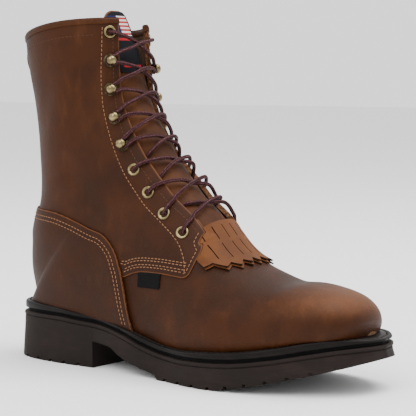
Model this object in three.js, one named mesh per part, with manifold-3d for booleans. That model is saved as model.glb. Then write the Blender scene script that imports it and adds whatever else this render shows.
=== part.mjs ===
// Work boot for the right foot: welted lace-up with a steel toe form, a fringe under the laces
// and a moulded unit sole. Millimetres, +X to the toe, -Y the outer side of the foot, +Z up.
// The origin lies on the floor under the middle of the boot's box.
import * as THREE from "three";
import { mergeVertices } from "three/addons/utils/BufferGeometryUtils.js";
import Module from "manifold-3d";

const wasm = await Module();
wasm.setup();
const { clamp, degToRad, lerp, smoothstep } = THREE.MathUtils;

// Sole
const SOLE_LENGTH = 312; // outsole, heel to toe
const BALL_WIDTH = 107; // outsole across the ball of the foot
const HEEL_WIDTH = 78; // outsole across the heel
const HEEL_LENGTH = 90; // heel block, rear to breast
const HEEL_HEIGHT = 35; // floor to the outsole's top edge at the heel
const FORE_HEIGHT = 18; // floor to the outsole's top edge under the ball
const TOE_SPRING = 24; // how far the toe's tip is off the floor
const SEAT_STEP = 6; // outsole's top edge to the seat of the upper
const RECESS_HEIGHT = 2.2; // set-back line between the outsole and the welt
const RECESS_DEPTH = 2.2;
const SOLE_FLARE = 1.6; // how far the outsole's foot stands outside its top edge
const WELT_WIDTH = 13;
const INSOLE_THICKNESS = 3;
const FEATHER = 9; // outsole's edge to where the upper meets the welt
const GROOVE_WIDTH = 2.6; // grooves across the tread
const GROOVE_DEPTH = 2.2;
const GROOVE_PITCH = 14;

// Upper
const TOE_HEIGHT = 70; // floor to the top of the toe form
const INSTEP_HEIGHT = 123; // floor to the ridge of the instep
const SHAFT_HEIGHT = 256; // floor to the collar's front
const SHAFT_WIDTH = 84; // shaft across the collar
const WALL = 2.4; // leather with its lining
const OVERLAY = 1.3; // one more layer of leather
const COLLAR_BAND = 4.4; // turned edge round the collar
const BAND_STEP = 0.7;
const THROAT_WIDTH = 44; // between the two facings over the instep
const THROAT_TOP_WIDTH = 34; // the same at the collar
const THROAT_BOTTOM = 88; // floor to the end of the throat's slot
const THROAT_ROUND = 8; // rounding of the slot's end
const TONGUE_THICKNESS = 2.6;
const TONGUE_WIDTH = 64;
const TONGUE_TOP_WIDTH = 36;
const TONGUE_ROUND = 10; // rounding of its corners
const LABEL_THICKNESS = 0.8;
const LABEL_WIDTH = 30;
const LABEL_MARGIN = 1; // label's edge to the tongue's
const FRINGE_THICKNESS = 1.7;
const FRINGE_LENGTH = 42;
const FRINGE_STRIPS = 8;
const SLIT = 0.8;
const PINKING = 3; // depth of the fringe's pointed ends
const TAB_THICKNESS = 0.9;
const STRAP_LENGTH = 26; // pull strap up the back of the collar
const STRAP_WIDTH = 20;
const STRAP_BOW = 4;
const STRAP_THICKNESS = 2;

// Fasteners and laces
const EYELET_ROWS = 9; // rows on each facing, hooks included
const ROW_PITCH = 21;
const FIRST_ROW = 10.5; // collar's edge to the top eyelet
const HOOK_ROWS = [1, 2, 3, 4];
const EYELET_SETBACK = 6.2; // facing's edge to the eyelets
const FOOT_SETBACK = { outer: 11.8, inner: 7.5 }; // the same at the slot's end, where each side lies
const EYELET_RADIUS = 5;
const EYELET_BORE = 2.5;
const BARREL_RADIUS = 3.1;
const FLANGE_THICKNESS = 0.8;
const BEVEL = 0.6; // sloping edge of the bases
const HOOK_BASE = 5;
const HOOK_DOME = 3.7;
const HOOK_HEIGHT = 7.8;
const STEM_RADIUS = 1.5;
const LACE_RADIUS = 1.4;

const GAP = 0.3; // clearance between pieces that touch

// Plan of the outsole: along is a share of its length from the heel's rear, outer and inner
// are how far each side reaches from the centre line, as shares of the width there.
const PLAN = [
  { along: 0, outer: 0, inner: 0 },
  { along: 0.01, outer: 0.192, inner: 0.192 },
  { along: 0.037, outer: 0.352, inner: 0.352 },
  { along: 0.083, outer: 0.442, inner: 0.436 },
  { along: 0.147, outer: 0.487, inner: 0.481 },
  { along: 0.228, outer: 0.506, inner: 0.494 },
  { along: 0.324, outer: 0.488, inner: 0.446 },
  { along: 0.42, outer: 0.446, inner: 0.364 },
  { along: 0.516, outer: 0.467, inner: 0.346 },
  { along: 0.603, outer: 0.528, inner: 0.397 },
  { along: 0.676, outer: 0.542, inner: 0.453 },
  { along: 0.756, outer: 0.509, inner: 0.489 },
  { along: 0.83, outer: 0.435, inner: 0.481 },
  { along: 0.897, outer: 0.336, inner: 0.425 },
  { along: 0.952, outer: 0.224, inner: 0.336 },
  { along: 0.987, outer: 0.089, inner: 0.21 },
  { along: 1, outer: -0.056, inner: 0.056 },
];

// Side view of the sole: the outsole's top edge and the seat of the upper, as shares of the
// climb from the ball's height to the heel's.
const SIDE = [
  { along: 0, top: 0.96, seat: 1.1 },
  { along: 0.083, top: 1, seat: 1.1 },
  { along: 0.186, top: 0.99, seat: 0.99 },
  { along: 0.231, top: 0.93, seat: 0.9 },
  { along: 0.285, top: 0.87, seat: 0.8 },
  { along: 0.34, top: 0.775, seat: 0.67 },
  { along: 0.394, top: 0.56, seat: 0.5 },
  { along: 0.449, top: 0.265, seat: 0.26 },
  { along: 0.503, top: 0.047, seat: 0.045 },
  { along: 0.555, top: -0.03, seat: -0.03 },
  { along: 0.603, top: -0.02, seat: 0 },
  { along: 0.686, top: 0.05, seat: 0.11 },
  { along: 0.731, top: 0.13, seat: 0.205 },
  { along: 0.814, top: 0.365, seat: 0.47 },
  { along: 0.891, top: 0.65, seat: 0.76 },
  { along: 0.952, top: 0.84, seat: 0.84 },
  { along: 1, top: 0.9, seat: 0.78 },
];

// Underside of the arch, from just past the heel's breast to the tread, as a share of the
// heel's height
const ARCH = [
  { along: 0.27, rise: 0.557 },
  { along: 0.349, rise: 0.5 },
  { along: 0.378, rise: 0.37 },
  { along: 0.413, rise: 0.257 },
  { along: 0.452, rise: 0.171 },
  { along: 0.494, rise: 0.1 },
  { along: 0.505, rise: 0 },
];
const SPRING_START = 0.66; // where the tread leaves the floor
const SPRING_POWER = 1.3;

// Sections of the upper, each in a plane from a base point on the seat, or up the back, to a
// ridge point on the front. base and ridge are shares of the sole's length, climb and rise are
// shares of the named height, but on the shaft rise is a share of the way from the instep's last
// ridge to the collar. outer and inner are shares of the named width. belly is where the section
// is widest, as a share of its height, crown is how square its top is, tuck is the angle in
// degrees at which it turns in to the welt, bow lifts the shaft's sides over its plane, and roll
// is how far the boot's inner side drops for each millimetre across.
const TOE_SECTIONS = [
  { base: 0.91, ridge: 0.954, rise: 0.53, outer: 0.219, inner: 0.3, belly: 0.02, crown: 2.1, tuck: 35 },
  { base: 0.902, ridge: 0.962, rise: 0.63, outer: 0.257, inner: 0.325, belly: 0.1, crown: 2.1, tuck: 35 },
  { base: 0.891, ridge: 0.9647, rise: 0.71, outer: 0.285, inner: 0.335, belly: 0.15, crown: 2.15, tuck: 35 },
  { base: 0.877, ridge: 0.956, rise: 0.805, outer: 0.313, inner: 0.357, belly: 0.2, crown: 2.2, tuck: 35 },
  { base: 0.859, ridge: 0.936, rise: 0.885, outer: 0.35, inner: 0.383, belly: 0.25, crown: 2.25, tuck: 35 },
  { base: 0.84, ridge: 0.908, rise: 0.945, outer: 0.383, inner: 0.407, belly: 0.27, crown: 2.3, tuck: 35 },
  { base: 0.817, ridge: 0.8665, rise: 1, outer: 0.416, inner: 0.427, belly: 0.28, crown: 2.35, tuck: 35 },
  { base: 0.785, ridge: 0.8205, rise: 1.018, outer: 0.449, inner: 0.437, belly: 0.28, crown: 2.35, tuck: 35 },
  { base: 0.744, ridge: 0.766, rise: 1.02, outer: 0.472, inner: 0.43, belly: 0.28, crown: 2.3, tuck: 35 },
];
const INSTEP_SECTIONS = [
  { base: 0.6955, ridge: 0.7179, rise: 0.622, outer: 0.486, inner: 0.411, belly: 0.27, crown: 2.2, tuck: 35, roll: 0 },
  { base: 0.6346, ridge: 0.6699, rise: 0.675, outer: 0.486, inner: 0.383, belly: 0.26, crown: 2.2, tuck: 35, roll: 0 },
  { base: 0.564, ridge: 0.6282, rise: 0.754, outer: 0.467, inner: 0.36, belly: 0.25, crown: 2.2, tuck: 35, roll: 0.02 },
  { base: 0.474, ridge: 0.591, rise: 0.859, outer: 0.43, inner: 0.345, belly: 0.24, crown: 2.35, tuck: 35, roll: 0.06 },
  { base: 0.378, ridge: 0.551, rise: 0.969, outer: 0.39, inner: 0.332, belly: 0.26, crown: 2.7, tuck: 35, roll: 0.1 },
  { base: 0.269, ridge: 0.5035, rise: 1.07, outer: 0.364, inner: 0.323, belly: 0.3, crown: 2.9, tuck: 35, roll: 0.13 },
  { base: 0.16, ridge: 0.4663, rise: 1.18, outer: 0.346, inner: 0.316, belly: 0.36, crown: 3, tuck: 35, roll: 0.15 },
  { base: 0.09, ridge: 0.4442, rise: 1.246, outer: 0.341, inner: 0.312, belly: 0.42, crown: 3, tuck: 30, roll: 0.17 },
  { base: 0.048, ridge: 0.426, rise: 1.307, outer: 0.336, inner: 0.308, belly: 0.46, crown: 2.95, tuck: 15, roll: 0.18 },
];
const SHAFT_SECTIONS = [
  { base: 0.036, climb: 0.157, ridge: 0.4102, rise: 0.0834, outer: 0.423, inner: 0.397, belly: 0.5, crown: 2.85, bow: 0, roll: 0.18 },
  { base: 0.017, climb: 0.242, ridge: 0.3954, rise: 0.1667, outer: 0.423, inner: 0.395, belly: 0.5, crown: 2.75, bow: 0, roll: 0.18 },
  { base: 0.03, climb: 0.344, ridge: 0.3767, rise: 0.2554, outer: 0.423, inner: 0.395, belly: 0.5, crown: 2.65, bow: 0, roll: 0.18 },
  { base: 0.0575, climb: 0.461, ridge: 0.3571, rise: 0.3656, outer: 0.429, inner: 0.395, belly: 0.5, crown: 2.5, bow: 0, roll: 0.18 },
  { base: 0.0593, climb: 0.586, ridge: 0.3416, rise: 0.5054, outer: 0.446, inner: 0.4, belly: 0.5, crown: 2.35, bow: 0, roll: 0.2 },
  { base: 0.0513, climb: 0.723, ridge: 0.3318, rise: 0.6774, outer: 0.47, inner: 0.419, belly: 0.5, crown: 2.3, bow: 0, roll: 0.22 },
  { base: 0.032, climb: 0.848, ridge: 0.3254, rise: 0.8522, outer: 0.494, inner: 0.438, belly: 0.5, crown: 2.25, bow: 0.004, roll: 0.22 },
  { base: 0.021, climb: 0.941, ridge: 0.3206, rise: 1, outer: 0.5, inner: 0.45, belly: 0.5, crown: 2.25, bow: 0.014, roll: 0.26 },
  { base: 0.018, climb: 1.02, ridge: 0.311, rise: 1.1882, outer: 0.5, inner: 0.45, belly: 0.5, crown: 2.25, bow: 0.014, roll: 0.26 },
];
const SEAT_SINK = 3; // how far the sections start below the seat, where they are trimmed

// Edges in the side view: along the sole's length, up as a share of the instep's height
const QUARTER_EDGE = [
  { along: 0.34, up: 0.1 },
  { along: 0.36, up: 0.54 },
  { along: 0.388, up: 0.564 },
  { along: 0.43, up: 0.601 },
  { along: 0.49, up: 0.606 },
  { along: 0.54, up: 0.597 },
  { along: 0.563, up: 0.593 },
  { along: 0.575, up: 0.61 },
  { along: 0.58, up: 0.645 },
  { along: 0.583, up: 0.69 },
  { along: 0.586, up: 0.736 },
  { along: 0.583, up: 0.775 },
  { along: 0.575, up: 0.82 },
  { along: 0.6, up: 1.2 },
];
const COUNTER_EDGE = [
  { along: 0.02, up: 0.93 },
  { along: 0.14, up: 0.921 },
  { along: 0.19, up: 0.902 },
  { along: 0.25, up: 0.856 },
  { along: 0.28, up: 0.831 },
  { along: 0.316, up: 0.805 },
  { along: 0.343, up: 0.755 },
  { along: 0.362, up: 0.695 },
  { along: 0.373, up: 0.633 },
  { along: 0.384, up: 0.563 },
  { along: 0.413, up: 0.29 },
  { along: 0.425, up: 0.1 },
];

// A smooth curve through a table's rows: at a row number that may lie between two rows
function blend(rows, key, position) {
  const last = rows.length - 1;
  const i = clamp(Math.floor(position), 0, last - 1);
  const t = position - i;
  const value = (k) => rows[clamp(k, 0, last)][key];
  const [a, b, c, d] = [value(i - 1), value(i), value(i + 1), value(i + 2)];
  return b + 0.5 * t * (c - a + t * (2 * a - 5 * b + 4 * c - d + t * (3 * (b - c) + d - a)));
}

// The same at a value of the rows' first column, which grows from row to row
function follow(rows, key, along) {
  const last = rows.length - 1;
  let i = 0;
  while (i < last - 1 && along > rows[i + 1].along) i += 1;
  const t = clamp((along - rows[i].along) / (rows[i + 1].along - rows[i].along), 0, 1);
  return blend(rows, key, i + t);
}

// Levels and widths along the sole
const breast = HEEL_LENGTH / SOLE_LENGTH;
const xAt = (along) => (along - 0.5) * SOLE_LENGTH;
const alongAt = (x) => x / SOLE_LENGTH + 0.5;
const widthAt = (along) => lerp(HEEL_WIDTH, BALL_WIDTH, smoothstep(along, 0.27, 0.45));
const climb = HEEL_HEIGHT - FORE_HEIGHT;
const topAt = (along) => FORE_HEIGHT + climb * follow(SIDE, "top", along);
const seatAt = (along) => FORE_HEIGHT + SEAT_STEP + climb * follow(SIDE, "seat", along);

function bottomAt(along) {
  if (along <= breast) return 0;
  if (along < ARCH[ARCH.length - 1].along) return HEEL_HEIGHT * Math.max(follow(ARCH, "rise", along), 0);
  const past = Math.max(along - SPRING_START, 0) / (1 - SPRING_START);
  return TOE_SPRING * past ** SPRING_POWER;
}

// The plan's rows give a rounded heel and toe only as a curve by row number
const planPoint = (position, side) => {
  const along = blend(PLAN, "along", position);
  return { along, x: xAt(along), y: side * widthAt(along) * blend(PLAN, side < 0 ? "outer" : "inner", position) };
};
const lastPlanRow = PLAN.length - 1;
function planPositionAt(along) {
  let [low, high] = [0, lastPlanRow];
  for (let i = 0; i < 30; i += 1) {
    const middle = (low + high) / 2;
    if (blend(PLAN, "along", middle) < along) low = middle;
    else high = middle;
  }
  return low;
}

// How far the feather line, where the upper meets the welt, lies from the centre line
const featherLength = SOLE_LENGTH - 2 * FEATHER;
function featherReach(x, side) {
  const along = clamp(x / featherLength + 0.5, 0, 1);
  const reach = Math.abs(planPoint(planPositionAt(along), side).y);
  return reach * (1 - (2 * FEATHER) / BALL_WIDTH);
}

// Geometry helpers
function toSolid(geometry) {
  const bare = new THREE.BufferGeometry();
  bare.setAttribute("position", geometry.getAttribute("position"));
  bare.setIndex(geometry.index);
  const merged = mergeVertices(bare, 1e-4);
  const index = merged.index.array;
  const triangles = [];
  for (let i = 0; i < index.length; i += 3) {
    const [a, b, c] = [index[i], index[i + 1], index[i + 2]];
    if (a !== b && b !== c && c !== a) triangles.push(a, b, c);
  }
  return new wasm.Manifold(new wasm.Mesh({
    numProp: 3,
    vertProperties: new Float32Array(merged.getAttribute("position").array),
    triVerts: new Uint32Array(triangles),
  }));
}
function toGeometry(solid) {
  const mesh = solid.getMesh();
  const geometry = new THREE.BufferGeometry();
  geometry.setAttribute("position", new THREE.BufferAttribute(mesh.vertProperties, 3));
  geometry.setIndex(new THREE.BufferAttribute(mesh.triVerts, 1));
  return geometry;
}
function trianglesOf(points, triangles) {
  const geometry = new THREE.BufferGeometry();
  geometry.setAttribute("position", new THREE.Float32BufferAttribute(points.flatMap((p) => [p.x, p.y, p.z]), 3));
  geometry.setIndex(triangles);
  return geometry;
}
const place = (geometry, matrix) => geometry.applyMatrix4(matrix);

// Side-view outline, x and z, pushed through the whole width
function sideSolid(outline, reach = SOLE_LENGTH) {
  const shape = new THREE.Shape(outline.map(([x, z]) => new THREE.Vector2(x, z)));
  const geometry = new THREE.ExtrudeGeometry(shape, { depth: reach, bevelEnabled: false });
  geometry.rotateX(Math.PI / 2);
  geometry.translate(0, reach / 2, 0);
  return toSolid(geometry);
}
// Front-view outline, y and z, pushed along the foot from x low to x high
function frontSolid(outline, low, high) {
  const shape = new THREE.Shape(outline.map(([y, z]) => new THREE.Vector2(y, z)));
  const geometry = new THREE.ExtrudeGeometry(shape, { depth: high - low, bevelEnabled: false });
  geometry.applyMatrix4(new THREE.Matrix4().makeBasis(
    new THREE.Vector3(0, 1, 0), new THREE.Vector3(0, 0, 1), new THREE.Vector3(1, 0, 0)));
  geometry.translate(low, 0, 0);
  return toSolid(geometry);
}
const boxAt = (sizes, x, y, z) => new THREE.BoxGeometry(...sizes).translate(x, y, z);

// Loops round the sole: the outer side from heel to toe, then the inner side back
const loopPositions = [];
const evenRows = [4.5, 12]; // between these rows of the plan the rim is nearly straight
for (let position = 0.5; position < lastPlanRow; position += 0.5) {
  const even = position >= evenRows[0] && position <= evenRows[1];
  if (!even || Number.isInteger(position)) loopPositions.push(position);
}
const breastPosition = planPositionAt(breast);
const archEnd = planPositionAt(ARCH[ARCH.length - 1].along);
loopPositions.push(breastPosition, breastPosition + 0.01, archEnd);
loopPositions.sort((a, b) => a - b);
const rim = [
  planPoint(0, -1),
  ...loopPositions.map((position) => planPoint(position, -1)),
  planPoint(lastPlanRow, -1),
  ...loopPositions.toReversed().map((position) => planPoint(position, 1)),
];
const rimNormals = rim.map((point, i) => {
  const before = rim.at(i - 1);
  const after = rim[(i + 1) % rim.length];
  return new THREE.Vector2(after.y - before.y, before.x - after.x).normalize();
});
function loopAt(inset, levelAt) {
  return rim.map((point, i) => {
    const x = point.x - inset * rimNormals[i].x;
    return new THREE.Vector3(x, point.y - inset * rimNormals[i].y, levelAt(alongAt(x), point.along));
  });
}

// A plate of loops stacked from its underside up, closed straight across below and above
function plateSolid(loops) {
  const count = rim.length;
  const half = count / 2;
  const triangles = [];
  for (let row = 0; row < loops.length - 1; row += 1) {
    for (let i = 0; i < count; i += 1) {
      const next = (i + 1) % count;
      const [a, b] = [row * count + i, row * count + next];
      triangles.push(a, b, b + count, a, b + count, a + count);
    }
  }
  const across = (start, up) => {
    for (let i = 0; i < half; i += 1) {
      const [a, b] = [start + i, start + i + 1];
      const [c, d] = [start + ((count - i - 1) % count), start + ((count - i) % count)];
      if (up) triangles.push(a, b, c, a, c, d);
      else triangles.push(a, c, b, a, d, c);
    }
  };
  across(0, false);
  across((loops.length - 1) * count, true);
  return toSolid(trianglesOf(loops.flat(), triangles));
}
// A strip round the sole, its section given by loops in order, closed on itself
function stripSolid(loops) {
  const count = rim.length;
  const triangles = [];
  loops.forEach((loop, row) => {
    const [start, above] = [row * count, ((row + 1) % loops.length) * count];
    for (let i = 0; i < count; i += 1) {
      const next = (i + 1) % count;
      triangles.push(start + i, start + next, above + next, start + i, above + next, above + i);
    }
  });
  return toSolid(trianglesOf(loops.flat(), triangles));
}

const EDGE = 0.9; // rounding of the sole's and the welt's edges
function makeOutsole() {
  let solid = plateSolid([
    loopAt(EDGE, (_, onRim) => bottomAt(onRim)),
    loopAt(0, (_, onRim) => bottomAt(onRim) + EDGE),
    loopAt(SOLE_FLARE, (along) => topAt(along) - EDGE),
    loopAt(SOLE_FLARE + EDGE, topAt),
  ]);
  const grooves = [];
  for (let x = xAt(0.53); x < xAt(0.95); x += GROOVE_PITCH) grooves.push(x);
  for (let x = xAt(breast) - GROOVE_PITCH; x > xAt(0.05); x -= GROOVE_PITCH) grooves.push(x);
  for (const x of grooves) {
    const cut = boxAt([GROOVE_WIDTH, 2 * BALL_WIDTH, 2 * GROOVE_DEPTH], x, 0, bottomAt(alongAt(x)));
    solid = solid.subtract(toSolid(cut));
  }
  return solid;
}
const weltEdge = SOLE_FLARE + 0.4;
const recessTop = (along) => topAt(along) + RECESS_HEIGHT;
function makeMidsole() {
  const side = weltEdge + RECESS_DEPTH;
  const middle = weltEdge + WELT_WIDTH + GAP;
  const ledge = (along) => recessTop(along) - GAP;
  return plateSolid([
    loopAt(side, (along) => topAt(along) + GAP),
    loopAt(side, ledge),
    loopAt(middle, ledge),
    loopAt(middle, seatAt),
  ]);
}
function makeWelt() {
  return stripSolid([
    loopAt(weltEdge + WELT_WIDTH, recessTop),
    loopAt(weltEdge + EDGE, recessTop),
    loopAt(weltEdge, (along) => recessTop(along) + EDGE),
    loopAt(weltEdge, (along) => seatAt(along) - EDGE),
    loopAt(weltEdge + EDGE, seatAt),
    loopAt(weltEdge + WELT_WIDTH, seatAt),
  ]);
}
const INSOLE_MARGIN = 0.8; // insole's edge to the upper's inner face
function makeInsole() {
  const inset = FEATHER + WALL;
  const plate = plateSolid([
    loopAt(inset, (along) => seatAt(along) + GAP),
    loopAt(inset, (along) => seatAt(along) + GAP + INSOLE_THICKNESS),
  ]);
  return plate.intersect(formSolid(-WALL - INSOLE_MARGIN, collar));
}

// Sections in millimetres
function footSection(row, height) {
  const baseX = xAt(row.base);
  return {
    ...row,
    baseX,
    baseZ: seatAt(row.base) - SEAT_SINK,
    ridgeX: xAt(row.ridge),
    ridgeZ: row.rise * height,
    bow: 0,
    roll: row.roll ?? 0,
    outer: row.outer * BALL_WIDTH,
    inner: row.inner * BALL_WIDTH,
    outerEdge: featherReach(baseX, -1),
    innerEdge: featherReach(baseX, 1),
  };
}
const shaftSection = (row) => ({
  ...row,
  baseX: xAt(row.base),
  baseZ: row.climb * SHAFT_HEIGHT,
  ridgeX: xAt(row.ridge),
  ridgeZ: lerp(INSTEP_SECTIONS.at(-1).rise * INSTEP_HEIGHT, SHAFT_HEIGHT, row.rise),
  bow: row.bow * SHAFT_HEIGHT,
  outer: row.outer * SHAFT_WIDTH,
  inner: row.inner * SHAFT_WIDTH,
  outerEdge: 0,
  innerEdge: 0,
  tuck: 0,
});
const sections = [
  ...TOE_SECTIONS.map((row) => footSection(row, TOE_HEIGHT)),
  ...INSTEP_SECTIONS.map((row) => footSection(row, INSTEP_HEIGHT)),
  ...SHAFT_SECTIONS.map(shaftSection),
];
const firstClosed = sections.length - SHAFT_SECTIONS.length;
const collar = sections.length - 2;
const above = sections.length - 1;
const SECTION_KEYS = ["baseX", "baseZ", "ridgeX", "ridgeZ", "outer", "inner", "outerEdge", "innerEdge", "belly",
  "crown", "tuck", "bow", "roll"];

// A point of the upper's outside: position is a section number, around goes from -1 at the
// outer side's base over 0 at the ridge to 1 at the inner side's base.
const CROWN_SHARE = 0.75;
function surfaceAt(position, around) {
  const row = Object.fromEntries(SECTION_KEYS.map((key) => [key, blend(sections, key, position)]));
  const side = around < 0 ? -1 : 1;
  const wide = side < 0 ? row.outer : row.inner;
  const edge = Math.max(side < 0 ? row.outerEdge : row.innerEdge, 0);
  const turn = Math.min(Math.abs(around), 1);
  let reach;
  let height;
  if (turn <= CROWN_SHARE) {
    const angle = (Math.PI / 2) * (1 - turn / CROWN_SHARE);
    reach = wide * Math.max(Math.cos(angle), 0) ** (2 / row.crown);
    height = row.belly + (1 - row.belly) * Math.sin(angle) ** (2 / row.crown);
  } else {
    const tuck = degToRad(Math.max(row.tuck, 0));
    const angle = lerp(Math.PI / 2, tuck, (turn - CROWN_SHARE) / (1 - CROWN_SHARE));
    reach = edge + (wide - edge) * (Math.sin(angle) - Math.sin(tuck)) / (1 - Math.sin(tuck));
    height = row.belly * (Math.cos(tuck) - Math.cos(angle)) / Math.cos(tuck);
  }
  if (turn === 0) reach = 0;
  const sink = side > 0 ? row.roll * reach * height : 0;
  return new THREE.Vector3(lerp(row.baseX, row.ridgeX, height), side * reach,
    lerp(row.baseZ, row.ridgeZ, height) + row.bow * Math.sin(Math.PI * height) - sink);
}
const PROBE = 0.02; // step used to feel the surface's slope
function normalAt(position, around) {
  const before = surfaceAt(Math.max(position - PROBE, 0), around);
  const after = surfaceAt(Math.min(position + PROBE, above), around);
  const left = surfaceAt(position, Math.max(around - PROBE, -1));
  const right = surfaceAt(position, Math.min(around + PROBE, 1));
  const normal = right.sub(left).cross(after.sub(before)).normalize();
  if (Math.abs(around) === 1 && position >= firstClosed) normal.setY(0).normalize();
  if (around === 0) normal.setY(0).normalize();
  return normal;
}
const offsetAt = (position, around, offset) => surfaceAt(position, around)
  .addScaledVector(normalAt(position, around), offset);

// The form under or over the leather: a closed body up to a section, offset from the outside
const OUTER_STEPS = 10; // columns from the ridge to the base on each side
const INNER_STEPS = 8;
function formSolid(offset, top, shape = (point) => point) {
  const sideSteps = offset < 0 ? INNER_STEPS : OUTER_STEPS;
  const columns = Array.from({ length: 2 * sideSteps + 1 }, (_, i) => i / sideSteps - 1);
  const count = columns.length;
  const points = [];
  const rows = [];
  for (let position = 0; position <= top; position += 1) rows.push(position);
  if (rows.at(-1) < top) rows.push(top);
  for (const position of rows) {
    for (const around of columns) points.push(shape(offsetAt(position, around, offset)));
  }
  const triangles = [];
  for (let row = 0; row < rows.length - 1; row += 1) {
    const start = row * count;
    for (let i = 0; i < count - 1; i += 1) {
      const a = start + i;
      triangles.push(a, a + 1, a + 1 + count, a, a + 1 + count, a + count);
    }
    const end = start + count - 1;
    triangles.push(end, start, start + count, end, start + count, end + count);
  }
  const cap = (start, up) => {
    for (let i = 0; i < sideSteps; i += 1) {
      const [a, b] = [start + i, start + i + 1];
      const [c, d] = [start + count - 2 - i, start + count - 1 - i];
      if (up) triangles.push(a, b, c, a, c, d);
      else triangles.push(a, c, b, a, d, c);
    }
  };
  cap(0, false);
  cap((rows.length - 1) * count, true);
  return toSolid(trianglesOf(points, triangles));
}

// Everything below the seat of the upper
const seatLine = [0, ...loopPositions, lastPlanRow].map((position) => {
  const { along, x } = planPoint(position, 1);
  return [x, seatAt(along) + GAP];
});
const belowSeat = sideSolid([
  [-SOLE_LENGTH, -HEEL_HEIGHT], [SOLE_LENGTH, -HEEL_HEIGHT], [SOLE_LENGTH, seatLine.at(-1)[1]],
  ...seatLine.toReversed(), [-SOLE_LENGTH, seatLine[0][1]],
]);

// Regions of the overlays in the side view
const edgePoints = (rows, shift = 0) => rows.map((row) => [xAt(row.along) + shift, row.up * INSTEP_HEIGHT]);
const quarterRegion = (grown) => sideSolid([
  [-SOLE_LENGTH, 0],
  ...edgePoints(QUARTER_EDGE).map(([x, z]) => [x + grown, z - grown]),
  [0.2 * SOLE_LENGTH, 2 * SHAFT_HEIGHT], [-SOLE_LENGTH, 2 * SHAFT_HEIGHT],
]);
const counterRegion = sideSolid([
  [-SOLE_LENGTH, 0], ...edgePoints(COUNTER_EDGE).toReversed(), [-SOLE_LENGTH, COUNTER_EDGE[0].up * INSTEP_HEIGHT],
]);
const NARROWING = 0.65; // share of the shaft's height from which the throat narrows
function throatReach(z) {
  const t = clamp((z / SHAFT_HEIGHT - NARROWING) / (1 - NARROWING), 0, 1);
  return lerp(THROAT_WIDTH, THROAT_TOP_WIDTH, t) / 2;
}
function throatOutline(shrink, bottom) {
  const reach = THROAT_WIDTH / 2 - shrink;
  const top = THROAT_TOP_WIDTH / 2 - shrink;
  const round = THROAT_ROUND;
  const side = [
    [reach - round, bottom], [reach - 0.3 * round, bottom + 0.3 * round], [reach, bottom + round],
    [reach, NARROWING * SHAFT_HEIGHT], [top, SHAFT_HEIGHT], [top, 2 * SHAFT_HEIGHT],
  ];
  return [...side, ...side.toReversed().map(([y, z]) => [-y, z])];
}
const throatBack = surfaceAt(collar, CROWN_SHARE).x; // middle of the shaft
const throatRegion = (shrink) => frontSolid(
  throatOutline(shrink, THROAT_BOTTOM + shrink), throatBack, SOLE_LENGTH / 2);

// The turned band: above a plane that lies a band's height under the collar's
function bandRegion() {
  const low = surfaceAt(collar, -1);
  const high = surfaceAt(collar, 0);
  const slope = (high.z - low.z) / (high.x - low.x);
  const levelAt = (x) => low.z + (x - low.x) * slope - COLLAR_BAND;
  const reach = SOLE_LENGTH / 2;
  return sideSolid([
    [-reach, levelAt(-reach)], [0, levelAt(0)], [0, 2 * SHAFT_HEIGHT], [-reach, 2 * SHAFT_HEIGHT],
  ]);
}

// Rows of the facing, counted from the top
const facingSteps = 200;
const facingStart = 10; // a section well below the lowest row
function aroundAtReach(position, reach, side) {
  let [low, high] = [0, CROWN_SHARE];
  for (let i = 0; i < 24; i += 1) {
    const middle = (low + high) / 2;
    if (side * surfaceAt(position, side * middle).y < reach) low = middle;
    else high = middle;
  }
  return side * low;
}
const SETBACK_START = 1.25 * INSTEP_HEIGHT; // height below which the eyelets move away from the edge
function eyeletReach(position, side) {
  const { z } = surfaceAt(position, 0);
  const t = clamp((SETBACK_START - z) / (SETBACK_START - THROAT_BOTTOM), 0, 1);
  return throatReach(z) + lerp(EYELET_SETBACK, side < 0 ? FOOT_SETBACK.outer : FOOT_SETBACK.inner, t);
}
const facingLine = [];
for (let i = 0; i <= facingSteps; i += 1) {
  const position = lerp(collar, facingStart, i / facingSteps);
  const point = surfaceAt(position, aroundAtReach(position, eyeletReach(position, -1), -1));
  const before = facingLine.at(-1);
  const length = before ? before.length + before.point.distanceTo(point) : 0;
  facingLine.push({ position, point, length });
}
function rowPosition(row) {
  const wanted = FIRST_ROW + row * ROW_PITCH;
  const i = Math.max(facingLine.findIndex((entry) => entry.length >= wanted), 1);
  const [a, b] = [facingLine[i - 1], facingLine[i]];
  return lerp(a.position, b.position, (wanted - a.length) / (b.length - a.length));
}
const rowNumbers = Array.from({ length: EYELET_ROWS }, (_, row) => row);
const rowPositions = rowNumbers.map(rowPosition);

// A point over the facing or the throat, by its distance from the centre line
function pointOver(position, y, offset) {
  return offsetAt(position, aroundAtReach(position, Math.abs(y), Math.sign(y) || 1), offset);
}
const eyeletAround = (row, side) => aroundAtReach(rowPositions[row], eyeletReach(rowPositions[row], side), side);
// Matrix that stands a lathe's axis on the leather at a row of one facing
function seatOn(row, side, offset) {
  const around = eyeletAround(row, side);
  const normal = normalAt(rowPositions[row], around);
  const turn = new THREE.Quaternion().setFromUnitVectors(new THREE.Vector3(0, 1, 0), normal);
  const point = offsetAt(rowPositions[row], around, offset);
  return new THREE.Matrix4().compose(point, turn, new THREE.Vector3(1, 1, 1));
}
// A point of the facing's flat faces, which cut the corners between the sections
function facetAt(position, around) {
  const row = Math.floor(position);
  const column = Math.floor(around * OUTER_STEPS) / OUTER_STEPS;
  const edge = (at) => offsetAt(row, at, OVERLAY).lerp(offsetAt(row + 1, at, OVERLAY), position - row);
  return edge(column).lerp(edge(column + 1 / OUTER_STEPS), (around - column) * OUTER_STEPS);
}
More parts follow.
